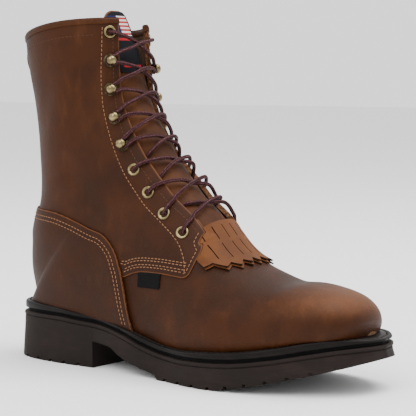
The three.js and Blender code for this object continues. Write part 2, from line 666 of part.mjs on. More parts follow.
// How far a flat round base stands off the leather's middle to clear its curve and its faces
const feel = { steps: 7, position: 0.09, around: 0.03 };
function baseLift(row, side, radius) {
  const position = rowPositions[row];
  const around = eyeletAround(row, side);
  const normal = normalAt(position, around);
  const seat = offsetAt(position, around, OVERLAY);
  let lift = 0;
  for (let i = -feel.steps; i <= feel.steps; i += 1) {
    for (let j = -feel.steps; j <= feel.steps; j += 1) {
      const rest = facetAt(position + i * feel.position, around + j * feel.around).sub(seat);
      const height = rest.dot(normal);
      if (rest.lengthSq() - height ** 2 <= radius ** 2) lift = Math.max(lift, height);
    }
  }
  return lift + GAP;
}

const SEGMENTS = 8; // round the small fasteners
const latheOf = (profile) => new THREE.LatheGeometry(profile.map(([r, h]) => new THREE.Vector2(r, h)), SEGMENTS);
function makeEyelet(row, side) {
  const depth = WALL + OVERLAY - GAP;
  const base = baseLift(row, side, EYELET_RADIUS);
  const top = base + FLANGE_THICKNESS;
  const ring = latheOf([
    [EYELET_BORE, -depth], [BARREL_RADIUS, -depth], [BARREL_RADIUS, base], [EYELET_RADIUS, base],
    [EYELET_RADIUS - BEVEL, top], [EYELET_BORE + BEVEL, top], [EYELET_BORE, -depth],
  ]);
  return toSolid(place(ring, seatOn(row, side, OVERLAY)));
}
function makeHook(row, side) {
  const base = baseLift(row, side, HOOK_BASE);
  const top = base + FLANGE_THICKNESS;
  const waist = HOOK_HEIGHT - 1.3 * HOOK_DOME;
  const dome = latheOf([
    [0, base], [HOOK_BASE, base], [HOOK_BASE - BEVEL, top], [STEM_RADIUS, top],
    [STEM_RADIUS, waist], [HOOK_DOME, waist + 0.4 * HOOK_DOME],
    [0.9 * HOOK_DOME, waist + 0.9 * HOOK_DOME], [0.5 * HOOK_DOME, waist + 1.23 * HOOK_DOME], [0, HOOK_HEIGHT],
  ]);
  return toSolid(place(dome, seatOn(row, side, OVERLAY)));
}

const isHook = (row) => HOOK_ROWS.includes(row);
function makeUpper() {
  const inside = formSolid(-WALL, above);
  const band = formSolid(OVERLAY + BAND_STEP, collar).intersect(bandRegion());
  const quarters = formSolid(OVERLAY, collar).intersect(quarterRegion(0));
  let solid = formSolid(0, collar).add(quarters).add(band);
  solid = solid.subtract(inside).subtract(throatRegion(0)).subtract(belowSeat);
  const hole = new THREE.CylinderGeometry(BARREL_RADIUS + GAP, BARREL_RADIUS + GAP, 6 * WALL, SEGMENTS);
  for (const row of rowNumbers.filter((number) => !isHook(number))) {
    for (const side of [-1, 1]) solid = solid.subtract(toSolid(place(hole.clone(), seatOn(row, side, 0))));
  }
  return solid;
}
function makeCounter() {
  return formSolid(2 * OVERLAY + GAP, collar).subtract(formSolid(OVERLAY + GAP, collar))
    .intersect(counterRegion).subtract(belowSeat);
}

const TONGUE_TOP = 1.025 * SHAFT_HEIGHT;
const TONGUE_FOOT = 0.62 * INSTEP_HEIGHT;
const TONGUE_LEAN = 17; // how far the tongue's top leans back from the laces
const LEAN_START = 0.76 * SHAFT_HEIGHT;
const tongueFace = -WALL - GAP;
function leanBack(point) {
  const t = Math.max(point.z - LEAN_START, 0) / (TONGUE_TOP - LEAN_START);
  return point.setX(point.x - TONGUE_LEAN * t ** 1.7);
}
const tongueLayer = (offset, thickness) => formSolid(offset, above, leanBack)
  .subtract(formSolid(offset - thickness, above, leanBack));
// The tongue's outline from the front, drawn in by a margin
function tongueRegion(margin) {
  const low = TONGUE_WIDTH / 2 - margin;
  const high = TONGUE_TOP_WIDTH / 2 - margin;
  const foot = TONGUE_FOOT + margin;
  const top = TONGUE_TOP - margin;
  const side = [
    [low - TONGUE_ROUND, foot], [low, foot + TONGUE_ROUND], [low, LEAN_START], [high, top - TONGUE_ROUND],
    [high - 0.3 * TONGUE_ROUND, top - 0.3 * TONGUE_ROUND], [high - TONGUE_ROUND, top],
  ];
  const outline = [...side, ...side.toReversed().map(([y, z]) => [-y, z])];
  return frontSolid(outline, throatBack, SOLE_LENGTH / 2);
}
const makeTongue = () => tongueLayer(tongueFace, TONGUE_THICKNESS).intersect(tongueRegion(0));
const LABEL_FOOT = 0.845 * SHAFT_HEIGHT;
function makeTongueLabel() {
  const reach = LABEL_WIDTH / 2;
  const outline = [[-reach, LABEL_FOOT], [reach, LABEL_FOOT], [reach, TONGUE_TOP], [-reach, TONGUE_TOP]];
  return tongueLayer(tongueFace + GAP + LABEL_THICKNESS, LABEL_THICKNESS)
    .intersect(frontSolid(outline, throatBack, SOLE_LENGTH / 2)).intersect(tongueRegion(LABEL_MARGIN));
}

// The fringe: a comb of strips in the plane of the instep's slope, y across and d up the slope
const FRINGE_SLOPE = degToRad(41);
const FRINGE_FOOT = { along: 0.676, up: 0.66 };
const FRINGE_ARC = 15; // how far its outermost strips end up the slope
const FRINGE_FOOT_WIDTH = 76;
const FRINGE_HEAD_WIDTH = 66;
const FRINGE_JOIN = 0.5; // share of its length where the slits start
function combOutline() {
  const points = [];
  const reachAt = (d) => lerp(FRINGE_FOOT_WIDTH, FRINGE_HEAD_WIDTH, d / FRINGE_LENGTH) / 2;
  const join = FRINGE_JOIN * FRINGE_LENGTH;
  const foot = (share) => FRINGE_ARC * share ** 4;
  for (let strip = 0; strip < FRINGE_STRIPS; strip += 1) {
    const low = (strip / FRINGE_STRIPS) * 2 - 1;
    const high = ((strip + 1) / FRINGE_STRIPS) * 2 - 1;
    const middle = (low + high) / 2;
    const left = strip > 0 ? SLIT / 2 : 0;
    const right = strip < FRINGE_STRIPS - 1 ? SLIT / 2 : 0;
    if (strip > 0) points.push([low * reachAt(join) + left, join]);
    points.push([low * reachAt(PINKING) + left, foot(low) + PINKING], [middle * reachAt(0), foot(middle)],
      [high * reachAt(PINKING) - right, foot(high) + PINKING]);
    if (strip < FRINGE_STRIPS - 1) points.push([high * reachAt(join) - right, join]);
  }
  points.push([reachAt(FRINGE_LENGTH), FRINGE_LENGTH], [-reachAt(FRINGE_LENGTH), FRINGE_LENGTH]);
  return points;
}
function makeFringe() {
  const shape = new THREE.Shape(combOutline().map(([y, d]) => new THREE.Vector2(y, d)));
  const comb = new THREE.ExtrudeGeometry(shape, { depth: INSTEP_HEIGHT, bevelEnabled: false });
  comb.translate(0, 0, -INSTEP_HEIGHT / 2);
  const up = new THREE.Vector3(-Math.cos(FRINGE_SLOPE), 0, Math.sin(FRINGE_SLOPE));
  const across = new THREE.Vector3(0, 1, 0);
  comb.applyMatrix4(new THREE.Matrix4().makeBasis(across, up, new THREE.Vector3().crossVectors(across, up)));
  comb.translate(xAt(FRINGE_FOOT.along), 0, FRINGE_FOOT.up * INSTEP_HEIGHT);
  const flaps = quarterRegion(GAP).subtract(throatRegion(GAP));
  return formSolid(FRINGE_THICKNESS + GAP, collar).subtract(formSolid(GAP, collar))
    .intersect(toSolid(comb)).subtract(flaps);
}

const TAB = { along: 0.431, length: 0.068, up: 0.518 };
function makeSideTab() {
  const x = xAt(TAB.along);
  const low = TAB.up * INSTEP_HEIGHT;
  const length = TAB.length * SOLE_LENGTH;
  const region = sideSolid([
    [x, low], [x + length, low], [x + length, INSTEP_HEIGHT], [x, INSTEP_HEIGHT],
  ]).subtract(toSolid(boxAt([SOLE_LENGTH, SOLE_LENGTH, SOLE_LENGTH], 0, SOLE_LENGTH / 2, 0)));
  return formSolid(GAP + TAB_THICKNESS, collar).subtract(formSolid(GAP, collar))
    .intersect(region).subtract(quarterRegion(GAP));
}

// Strap at the back of the collar: a bowed strip, seen from the side
const STRAP_TOP = 0.93 * SHAFT_HEIGHT;
function makePullLoop() {
  const steps = 8;
  const backX = (z) => {
    let [low, high] = [firstClosed, above];
    for (let i = 0; i < 24; i += 1) {
      const middle = (low + high) / 2;
      if (surfaceAt(middle, 1).z < z) low = middle;
      else high = middle;
    }
    return surfaceAt(low, 1).x - OVERLAY - BAND_STEP - GAP;
  };
  const line = (extra) => Array.from({ length: steps + 1 }, (_, i) => {
    const z = STRAP_TOP - STRAP_LENGTH * (1 - i / steps);
    return [backX(z) - extra - STRAP_BOW * Math.sin((Math.PI * i) / steps), z];
  });
  return sideSolid([...line(STRAP_THICKNESS), ...line(0).toReversed()], STRAP_WIDTH);
}

// A crossing of the laces between two rows: from the lower row's eyelet on one side to the
// upper row's on the other, and the same mirrored. Where the upper row has eyelets that the
// lace enters from inside, it stops under the facing's edge.
const LACE_SIDES = 5;
const LACE_STEPS = 6;
function laceBar(lower, upper, side) {
  // Where it ends: beside a hook's base, or over an eyelet's bore
  const reachOut = (row, at) => eyeletReach(rowPositions[row], at) - (isHook(row) ? HOOK_BASE + LACE_RADIUS + GAP : 1);
  const proud = (row, at) => OVERLAY + baseLift(row, at, EYELET_RADIUS) + FLANGE_THICKNESS + LACE_RADIUS + 4 * GAP;
  const edge = throatReach(surfaceAt(rowPositions[upper], 0).z);
  const overAt = (row) => OVERLAY + LACE_RADIUS + (isHook(row) ? 1.5 : 3) * GAP;
  const middle = LACE_RADIUS - WALL + LABEL_THICKNESS + 4 * GAP;
  const aside = (LACE_RADIUS + 2 * GAP) / ROW_PITCH; // two laces lie side by side round a hook
  const start = lerp(rowPositions[lower], rowPositions[upper], isHook(lower) ? aside : 0);
  const end = lerp(rowPositions[upper], rowPositions[lower], isHook(upper) ? aside : 0);
  const at = (t, y, offset) => pointOver(lerp(start, end, t), side * y, offset);
  const goesUnder = !isHook(upper) && upper > 0;
  const middleOf = (row) => (overAt(row) + middle) / 2;
  // A lace ends beside a hook's stem, over an eyelet's bore, or under the facing's edge
  const points = isHook(lower)
    ? [at(0, reachOut(lower, side), overAt(lower))]
    : [at(0, reachOut(lower, side), proud(lower, side)), at(0.1, edge + LACE_RADIUS / 3, overAt(lower))];
  points.push(at(0.32, edge / 2, middleOf(lower)), at(0.5, 0, middle));
  if (goesUnder) points.push(at(0.7, -edge / 2, middle - 1), at(0.86, -(edge - 2.8), -WALL + LACE_RADIUS + GAP));
  else points.push(at(0.68, -edge / 2, middleOf(upper)));
  if (isHook(upper)) points.push(at(1, -reachOut(upper, -side), overAt(upper)));
  else if (!goesUnder) {
    points.push(at(0.9, -edge - LACE_RADIUS / 3, overAt(upper)), at(1, -reachOut(upper, -side), proud(upper, -side)));
  }
  const path = new THREE.CatmullRomCurve3(points);
  const ring = Array.from({ length: LACE_SIDES }, (_, i) => new THREE.Vector2(
    LACE_RADIUS * Math.cos((2 * Math.PI * i) / LACE_SIDES), LACE_RADIUS * Math.sin((2 * Math.PI * i) / LACE_SIDES)));
  return toSolid(new THREE.ExtrudeGeometry(new THREE.Shape(ring), { steps: LACE_STEPS, extrudePath: path }));
}
const makeCrossing = (upper) => laceBar(upper + 1, upper, -1).add(laceBar(upper + 1, upper, 1));

// Materials
const finish = (color, roughness, metalness = 0) => new THREE.MeshStandardMaterial({ color, roughness, metalness });
const leather = finish(0x5f3a22, 0.55);
const heelLeather = finish(0x4f2f1e, 0.55);
const tongueLeather = finish(0x7a4a2c, 0.65);
const fringeLeather = finish(0x8a5a40, 0.7);
const rubber = finish(0x3a3432, 0.7);
const recessed = finish(0x171513, 0.8);
const weltRubber = finish(0x24211f, 0.5);
const board = finish(0x8c7355, 0.9);
const brass = finish(0xa88c52, 0.35, 1);
const cloth = finish(0x1c1c1e, 0.9);
const laceYarn = finish(0x4a2a30, 0.85);

const group = new THREE.Group();
function addNode(name, solid, material) {
  const mesh = new THREE.Mesh(toGeometry(solid), material);
  mesh.name = name;
  group.add(mesh);
}
addNode("outsole", makeOutsole(), rubber);
addNode("midsole", makeMidsole(), recessed);
addNode("welt", makeWelt(), weltRubber);
addNode("insole", makeInsole(), board);
addNode("upper", makeUpper(), leather);
addNode("counter", makeCounter(), heelLeather);
addNode("tongue", makeTongue(), tongueLeather);
addNode("tongue_label", makeTongueLabel(), cloth);
addNode("fringe", makeFringe(), fringeLeather);
addNode("side_tab", makeSideTab(), cloth);
addNode("pull_loop", makePullLoop(), leather);
for (const [sideName, side] of [["outer", -1], ["inner", 1]]) {
  for (const row of rowNumbers) {
    const piece = isHook(row) ? "hook" : "eyelet";
    addNode(`${piece}_${sideName}_${row + 1}`, isHook(row) ? makeHook(row, side) : makeEyelet(row, side), brass);
  }
}
for (const upper of rowNumbers.slice(0, -1)) addNode(`lace_crossing_${upper + 1}`, makeCrossing(upper), laceYarn);

// The origin goes to the floor under the middle of the box
const box = new THREE.Box3().setFromObject(group);
const centre = box.getCenter(new THREE.Vector3());
group.position.set(-centre.x, -centre.y, -box.min.z);
group.updateMatrixWorld(true);

export default group;
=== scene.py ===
"""Dresses the lace-up work boot: leather panels on the last, stitching, laces, fittings, sole and stage.

Sizes in the tables are millimetres or shares of the named sizes, in the boot's own frame:
+X to the toe, -Y the outer side of the foot, +Z up. Meshes are written in metres.
"""
import math

import bmesh
import bpy
import numpy as np
from mathutils import Matrix, Vector
from mathutils.bvhtree import BVHTree


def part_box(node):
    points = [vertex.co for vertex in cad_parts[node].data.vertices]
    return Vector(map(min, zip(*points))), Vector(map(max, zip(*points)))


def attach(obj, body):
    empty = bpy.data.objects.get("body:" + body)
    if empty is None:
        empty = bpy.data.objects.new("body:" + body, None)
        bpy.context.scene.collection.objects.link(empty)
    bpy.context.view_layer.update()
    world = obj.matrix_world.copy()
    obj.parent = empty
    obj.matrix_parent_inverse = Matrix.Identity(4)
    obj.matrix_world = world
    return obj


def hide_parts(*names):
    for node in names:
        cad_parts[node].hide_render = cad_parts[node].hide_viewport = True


bl_info = {
    "name": "Work boot",
    "version": (1, 0, 0),
    "blender": (4, 5, 0),
    "location": "View3D > Sidebar > Boot",
    "description": "Builds the looks of a lace-up work boot round its solids",
    "category": "Object",
}

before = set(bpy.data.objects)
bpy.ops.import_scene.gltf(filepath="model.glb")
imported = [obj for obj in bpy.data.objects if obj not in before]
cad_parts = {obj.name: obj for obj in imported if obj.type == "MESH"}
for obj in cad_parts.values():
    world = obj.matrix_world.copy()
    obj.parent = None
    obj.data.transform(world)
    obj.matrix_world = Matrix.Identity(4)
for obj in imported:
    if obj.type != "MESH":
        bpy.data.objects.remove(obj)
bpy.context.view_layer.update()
MM = 0.001

# Sole
SOLE_LENGTH = 312.0
BALL_WIDTH = 107.0
HEEL_WIDTH = 78.0
HEEL_LENGTH = 90.0
HEEL_HEIGHT = 35.0
FORE_HEIGHT = 18.0
TOE_SPRING = 24.0
SEAT_STEP = 6.0
RECESS_HEIGHT = 2.2
RECESS_DEPTH = 2.2
SOLE_FLARE = 1.6
WELT_WIDTH = 13.0
FEATHER = 9.0
GROOVE_WIDTH = 2.6
GROOVE_DEPTH = 2.2
GROOVE_PITCH = 14.0

# Upper
TOE_HEIGHT = 70.0
INSTEP_HEIGHT = 123.0
SHAFT_HEIGHT = 256.0
SHAFT_WIDTH = 84.0
WALL = 2.4
OVERLAY = 1.3
BAND_STEP = 0.7
THROAT_WIDTH = 44.0
THROAT_TOP_WIDTH = 34.0
THROAT_BOTTOM = 88.0
THROAT_ROUND = 8.0
NARROWING = 0.65
EYELET_SETBACK = 6.2
OUTER_FOOT_SETBACK = 11.8
INNER_FOOT_SETBACK = 7.5
SETBACK_START = 1.25 * INSTEP_HEIGHT
ROW_PITCH = 21.0
FIRST_ROW = 10.5
HOOK_ROWS = (1, 2, 3, 4)
ROWS = 9
FROM_ABOVE = (5, 6)
LACE_RADIUS = 1.4
STEM_RADIUS = 1.5
TONGUE_TOP = 1.025 * SHAFT_HEIGHT
TONGUE_FOOT = 0.62 * INSTEP_HEIGHT
TONGUE_REACH = 32.0
TONGUE_TOP_REACH = 18.0
TONGUE_ROUND = 10.0
TONGUE_LEAN = 17.0
LEAN_START = 0.76 * SHAFT_HEIGHT
LEAN_POWER = 1.7
OUTER_CORNER = 1.7
LABEL_FOOT = 0.845 * SHAFT_HEIGHT
LABEL_REACH = 15.0
LABEL_MARGIN = 1.0
GAP = 0.3


def columns(names, rows):
    """A table of rows as a column of numbers for each name."""
    return {name: np.array(column, float) for name, column in zip(names.split(), zip(*rows))}


PLAN = columns("along outer inner", (
    (0, 0, 0), (0.01, 0.192, 0.192), (0.037, 0.352, 0.352), (0.083, 0.442, 0.436),
    (0.147, 0.487, 0.481), (0.228, 0.506, 0.494), (0.324, 0.488, 0.446), (0.42, 0.446, 0.364),
    (0.516, 0.467, 0.346), (0.603, 0.528, 0.397), (0.676, 0.542, 0.453), (0.756, 0.509, 0.489),
    (0.83, 0.435, 0.481), (0.897, 0.336, 0.425), (0.952, 0.224, 0.336), (0.987, 0.089, 0.21),
    (1, -0.056, 0.056)))
SIDE = columns("along top seat", (
    (0, 0.96, 1.1), (0.083, 1, 1.1), (0.186, 0.99, 0.99), (0.231, 0.93, 0.9), (0.285, 0.87, 0.8),
    (0.34, 0.775, 0.67), (0.394, 0.56, 0.5), (0.449, 0.265, 0.26), (0.503, 0.047, 0.045),
    (0.555, -0.03, -0.03), (0.603, -0.02, 0), (0.686, 0.05, 0.11), (0.731, 0.13, 0.205),
    (0.814, 0.365, 0.47), (0.891, 0.65, 0.76), (0.952, 0.84, 0.84), (1, 0.9, 0.78)))
ARCH = columns("along rise", (
    (0.27, 0.557), (0.349, 0.5), (0.378, 0.37), (0.413, 0.257), (0.452, 0.171), (0.494, 0.1),
    (0.505, 0)))
SPRING_START = 0.66
SPRING_POWER = 1.3

# Sections of the upper from the toe over the instep, each up to a ridge point on the front
FOOT_NAMES = "base ridge rise outer inner belly crown tuck roll"
TOE_SECTIONS = columns(FOOT_NAMES, (
    (0.91, 0.954, 0.53, 0.219, 0.3, 0.02, 2.1, 35, 0),
    (0.902, 0.962, 0.63, 0.257, 0.325, 0.1, 2.1, 35, 0),
    (0.891, 0.9647, 0.71, 0.285, 0.335, 0.15, 2.15, 35, 0),
    (0.877, 0.956, 0.805, 0.313, 0.357, 0.2, 2.2, 35, 0),
    (0.859, 0.936, 0.885, 0.35, 0.383, 0.25, 2.25, 35, 0),
    (0.84, 0.908, 0.945, 0.383, 0.407, 0.27, 2.3, 35, 0),
    (0.817, 0.8665, 0.99, 0.416, 0.427, 0.28, 2.35, 35, 0),
    (0.785, 0.8205, 1.018, 0.449, 0.437, 0.28, 2.35, 35, 0),
    (0.744, 0.766, 1.02, 0.472, 0.43, 0.28, 2.3, 35, 0)))
INSTEP_SECTIONS = columns(FOOT_NAMES, (
    (0.6955, 0.7179, 0.622, 0.486, 0.411, 0.27, 2.2, 35, 0),
    (0.6346, 0.6699, 0.675, 0.486, 0.383, 0.26, 2.2, 35, 0),
    (0.564, 0.6282, 0.754, 0.467, 0.36, 0.25, 2.2, 35, 0.02),
    (0.474, 0.591, 0.859, 0.43, 0.345, 0.24, 2.35, 35, 0.06),
    (0.378, 0.551, 0.969, 0.39, 0.332, 0.26, 2.7, 35, 0.1),
    (0.269, 0.5035, 1.07, 0.364, 0.323, 0.3, 2.9, 35, 0.13),
    (0.16, 0.4663, 1.18, 0.346, 0.316, 0.36, 3, 35, 0.15),
    (0.09, 0.4442, 1.246, 0.341, 0.312, 0.42, 3, 30, 0.17),
    (0.048, 0.426, 1.307, 0.336, 0.308, 0.46, 2.95, 15, 0.18)))
SHAFT_SECTIONS = columns("base climb ridge rise outer inner belly crown bow roll", (
    (0.036, 0.157, 0.4102, 0.0834, 0.423, 0.397, 0.5, 2.85, 0, 0.18),
    (0.017, 0.242, 0.3954, 0.1667, 0.423, 0.395, 0.5, 2.75, 0, 0.18),
    (0.03, 0.344, 0.3767, 0.2554, 0.423, 0.395, 0.5, 2.65, 0, 0.18),
    (0.0575, 0.461, 0.3571, 0.3656, 0.429, 0.395, 0.5, 2.5, 0, 0.18),
    (0.0593, 0.586, 0.3416, 0.5054, 0.446, 0.4, 0.5, 2.35, 0, 0.2),
    (0.0513, 0.723, 0.3318, 0.6774, 0.47, 0.419, 0.5, 2.3, 0, 0.22),
    (0.032, 0.848, 0.3254, 0.8522, 0.494, 0.438, 0.5, 2.25, 0.004, 0.22),
    (0.021, 0.941, 0.3206, 1, 0.5, 0.45, 0.5, 2.25, 0.014, 0.26),
    (0.018, 1.02, 0.311, 1.1882, 0.5, 0.45, 0.5, 2.25, 0.014, 0.26)))
SEAT_SINK = 3.0
FIRST_CLOSED = 18
COLLAR = 25
ABOVE = 26
CROWN_SHARE = 0.75

# Edges of the overlays in the side view
QUARTER_EDGE = columns("along up", (
    (0.34, 0.1), (0.36, 0.54), (0.388, 0.564), (0.43, 0.601), (0.49, 0.606), (0.54, 0.597),
    (0.563, 0.593), (0.575, 0.61), (0.58, 0.645), (0.583, 0.69), (0.586, 0.736), (0.583, 0.775),
    (0.575, 0.82), (0.6, 1.2)))
COUNTER_EDGE = columns("along up", (
    (0.02, 0.93), (0.14, 0.921), (0.19, 0.902), (0.25, 0.856), (0.28, 0.831), (0.316, 0.805),
    (0.343, 0.755), (0.362, 0.695), (0.373, 0.633), (0.384, 0.563), (0.413, 0.29), (0.425, 0.1)))

# The stitched row behind the eyelets, down to the tip of the flap
ROW_LINE = columns("along up", (
    (0.565, 0.62), (0.556, 0.687), (0.534, 0.777), (0.508, 0.837), (0.472, 0.904), (0.425, 0.996),
    (0.373, 1.145), (0.346, 1.25), (0.32, 1.395), (0.302, 1.55), (0.295, 1.705), (0.294, 1.84),
    (0.293, 1.976), (0.292, 2.078), (0.286, 2.176)))

# Soft folds in the side view: from and to, how wide, how deep (down is negative), on which side
FOLDS = columns("x0 z0 x1 z1 width depth side", (
    (-126, 118, -92, 132, 6, -0.9, -1), (-120, 132, -84, 140, 6, 0.6, -1),
    (-96, 150, -72, 128, 7, -0.8, -1), (-70, 112, -34, 128, 6, -0.7, -1),
    (-60, 132, -30, 146, 7, 0.7, -1), (-122, 168, -104, 214, 8, -0.8, -1),
    (-96, 186, -88, 236, 9, 0.7, -1), (-80, 168, -70, 222, 7, -0.5, -1),
    (-126, 120, -90, 128, 6, -0.8, 1), (-104, 148, -70, 136, 7, -0.7, 1),
    (-66, 118, -30, 124, 7, 0.7, 1), (-118, 178, -98, 226, 9, -0.8, 1),
    (-86, 170, -78, 226, 8, 0.5, 1), (34, 52, 70, 60, 7, -0.7, -1), (44, 40, 78, 50, 6, -0.6, -1),
    (30, 54, 66, 66, 7, -0.7, 1), (46, 38, 74, 52, 6, -0.5, 1), (-10, 44, 22, 56, 8, -0.5, -1),
    (72, 60, 80, 36, 7, -0.6, -1), (74, 58, 82, 36, 7, -0.6, 1)))


def lerp(low, high, share):
    """A value between two others."""
    return low + (high - low) * share


def spline(values, position):
    """A smooth curve through a column, at row numbers that may lie between rows."""
    last = len(values) - 1
    position = np.asarray(position, float)
    i = np.clip(np.floor(position).astype(int), 0, last - 1)
    t = position - i
    a, b, c, d = (values[np.clip(i + step, 0, last)] for step in (-1, 0, 1, 2))
    return b + 0.5 * t * (c - a + t * (2 * a - 5 * b + 4 * c - d + t * (3 * (b - c) + d - a)))


def follow(table, key, along):
    """The same, at values of the table's first column."""
    starts = table["along"]
    i = np.clip(np.searchsorted(starts, along, side="right") - 1, 0, len(starts) - 2)
    t = np.clip((along - starts[i]) / (starts[i + 1] - starts[i]), 0, 1)
    return spline(table[key], i + t)


def running_length(points):
    """Length along a line up to each of its points."""
    return np.concatenate([[0], np.cumsum(np.linalg.norm(np.diff(points, axis=0), axis=1))])


def points_at(places, lengths, points):
    """Points of a line, at lengths along it."""
    return np.stack([np.interp(places, lengths, points[:, k]) for k in range(3)], 1)


def unit(vectors):
    """Vectors of length one."""
    return vectors / np.maximum(np.linalg.norm(vectors, axis=-1, keepdims=True), 1e-9)


def grid_rows(low, high, step):
    """Even steps from low to high, about this far apart."""
    return np.linspace(low, high, int(round((high - low) / step)) + 1)


def mirrored(half):
    """Steps from 0 up, and the same below 0."""
    return np.concatenate([-half[::-1], half[1:]])


def smooth_between(value, low, high):
    """0 below low, 1 above high and smooth between them."""
    t = np.clip((value - low) / (high - low), 0, 1)
    return t * t * (3 - 2 * t)


def x_at(along):
    """Millimetres from the boot's middle, of a share of the sole's length."""
    return (along - 0.5) * SOLE_LENGTH


def along_at(x):
    """Share of the sole's length, the other way about."""
    return x / SOLE_LENGTH + 0.5


def top_at(along):
    """Height of the outsole's top."""
    return FORE_HEIGHT + (HEEL_HEIGHT - FORE_HEIGHT) * follow(SIDE, "top", along)


def seat_at(along):
    """Height of the welt's top, on which the leather sits."""
    return FORE_HEIGHT + SEAT_STEP + (HEEL_HEIGHT - FORE_HEIGHT) * follow(SIDE, "seat", along)


BREAST = HEEL_LENGTH / SOLE_LENGTH
WAIST = (0.27, 0.45)


def bottom_at(along):
    """Height of the sole's underside."""
    past = np.maximum(along - SPRING_START, 0) / (1 - SPRING_START)
    spring = TOE_SPRING * past ** SPRING_POWER
    arch = HEEL_HEIGHT * np.maximum(follow(ARCH, "rise", along), 0)
    return np.where(along <= BREAST, 0.0, np.where(along < ARCH["along"][-1], arch, spring))


def plan_at(position, side):
    """Point of the outsole's outline by row number, on one side."""
    along = spline(PLAN["along"], position)
    width = lerp(HEEL_WIDTH, BALL_WIDTH, smooth_between(along, *WAIST))
    return along, x_at(along), side * width * spline(PLAN["outer" if side < 0 else "inner"], position)


LAST_ROW = len(PLAN["along"]) - 1
FINE_ROWS = np.linspace(0, LAST_ROW, 4001)
FINE_ALONG = np.maximum.accumulate(plan_at(FINE_ROWS, -1)[0])


def feather_reach(x, side):
    """How far the upper's foot lies from the centre line."""
    along = np.clip(x / (SOLE_LENGTH - 2 * FEATHER) + 0.5, 0, 1)
    reach = np.abs(plan_at(np.interp(along, FINE_ALONG, FINE_ROWS), side)[2])
    return reach * (1 - 2 * FEATHER / BALL_WIDTH)


def sections_in_mm():
    """All sections in millimetres, from the toe to above the collar."""
    parts = []
    for table, height in ((TOE_SECTIONS, TOE_HEIGHT), (INSTEP_SECTIONS, INSTEP_HEIGHT)):
        base_x = x_at(table["base"])
        parts.append({
            "base_x": base_x, "base_z": seat_at(table["base"]) - SEAT_SINK,
            "ridge_x": x_at(table["ridge"]), "ridge_z": table["rise"] * height,
            "outer": table["outer"] * BALL_WIDTH, "inner": table["inner"] * BALL_WIDTH,
            "outer_edge": feather_reach(base_x, -1), "inner_edge": feather_reach(base_x, 1),
            "belly": table["belly"], "crown": table["crown"], "tuck": table["tuck"],
            "bow": 0 * base_x, "roll": table["roll"]})
    shaft = SHAFT_SECTIONS
    none = 0 * shaft["base"]
    parts.append({
        "base_x": x_at(shaft["base"]), "base_z": shaft["climb"] * SHAFT_HEIGHT,
        "ridge_x": x_at(shaft["ridge"]),
        "ridge_z": lerp(INSTEP_SECTIONS["rise"][-1] * INSTEP_HEIGHT, SHAFT_HEIGHT, shaft["rise"]),
        "outer": shaft["outer"] * SHAFT_WIDTH, "inner": shaft["inner"] * SHAFT_WIDTH,
        "outer_edge": none, "inner_edge": none, "belly": shaft["belly"], "crown": shaft["crown"],
        "tuck": none, "bow": shaft["bow"] * SHAFT_HEIGHT, "roll": shaft["roll"]})
    return {key: np.concatenate([part[key] for part in parts]) for key in parts[0]}


SECTIONS = sections_in_mm()


def surface_at(position, around):
    """Points of the upper's outside: around goes from -1 at the outer base over 0 at the ridge to 1."""
    position, around = np.broadcast_arrays(np.asarray(position, float), np.asarray(around, float))
    row = {key: spline(column, position) for key, column in SECTIONS.items()}
    outer = around < 0
    wide = np.where(outer, row["outer"], row["inner"])
    edge = np.maximum(np.where(outer, row["outer_edge"], row["inner_edge"]), 0)
    turn = np.minimum(np.abs(around), 1)
    belly = row["belly"]
    power = 2 / row["crown"]
    high = np.pi / 2 * (1 - np.minimum(turn, CROWN_SHARE) / CROWN_SHARE)
    high_reach = wide * np.maximum(np.cos(high), 0) ** power
    high_level = belly + (1 - belly) * np.sin(high) ** power
    tuck = np.radians(np.maximum(row["tuck"], 0))
    low = lerp(np.pi / 2, tuck, np.maximum(turn - CROWN_SHARE, 0) / (1 - CROWN_SHARE))
    low_reach = edge + (wide - edge) * (np.sin(low) - np.sin(tuck)) / (1 - np.sin(tuck))
    low_level = belly * (np.cos(tuck) - np.cos(low)) / np.cos(tuck)
    crown = turn <= CROWN_SHARE
    reach = np.where(turn == 0, 0, np.where(crown, high_reach, low_reach))
    level = np.where(crown, high_level, low_level)
    sink = np.where(outer, 0, row["roll"] * reach * level)
    x = lerp(row["base_x"], row["ridge_x"], level)
    z = lerp(row["base_z"], row["ridge_z"], level) + row["bow"] * np.sin(np.pi * level) - sink
    return np.stack([x, np.where(outer, -reach, reach), z], -1)


PROBE = 0.02


def normal_at(position, around):
    """Outward directions of the upper's surface."""
    position, around = np.broadcast_arrays(np.asarray(position, float), np.asarray(around, float))
    before = surface_at(np.maximum(position - PROBE, 0), around)
    after = surface_at(np.minimum(position + PROBE, ABOVE), around)
    left = surface_at(position, np.maximum(around - PROBE, -1))
    right = surface_at(position, np.minimum(around + PROBE, 1))
    normal = np.cross(right - left, after - before)
    flat = (around == 0) | ((np.abs(around) == 1) & (position >= FIRST_CLOSED))
    normal[..., 1] = np.where(flat, 0, normal[..., 1])
    return unit(normal)


FOLD_ENDS = (0.15, 0.7)
FOLD_FROM = 4
FOLD_FULL = 18


def folds_at(points):
    """How far the soft folds lift or sink the leather."""
    total = np.zeros(len(points))
    for x0, z0, x1, z1, width, depth, side in zip(*FOLDS.values()):
        way = np.array([x1 - x0, z1 - z0])
        rest = points[:, [0, 2]] - (x0, z0)
        t = np.clip(rest @ way / (way @ way), 0, 1)
        far = np.linalg.norm(rest - t[:, None] * way, axis=1)
        lift = depth * np.exp(-(far / width) ** 2) * np.sin(np.pi * (FOLD_ENDS[0] + FOLD_ENDS[1] * t))
        y = points[:, 1]
        total += np.where(y * side > FOLD_FROM, lift, 0) * np.clip(np.abs(y) / FOLD_FULL, 0, 1)
    return total


# Where a panel lies: how far in millimetres a point is inside each edge
CURVE_STEPS = 5


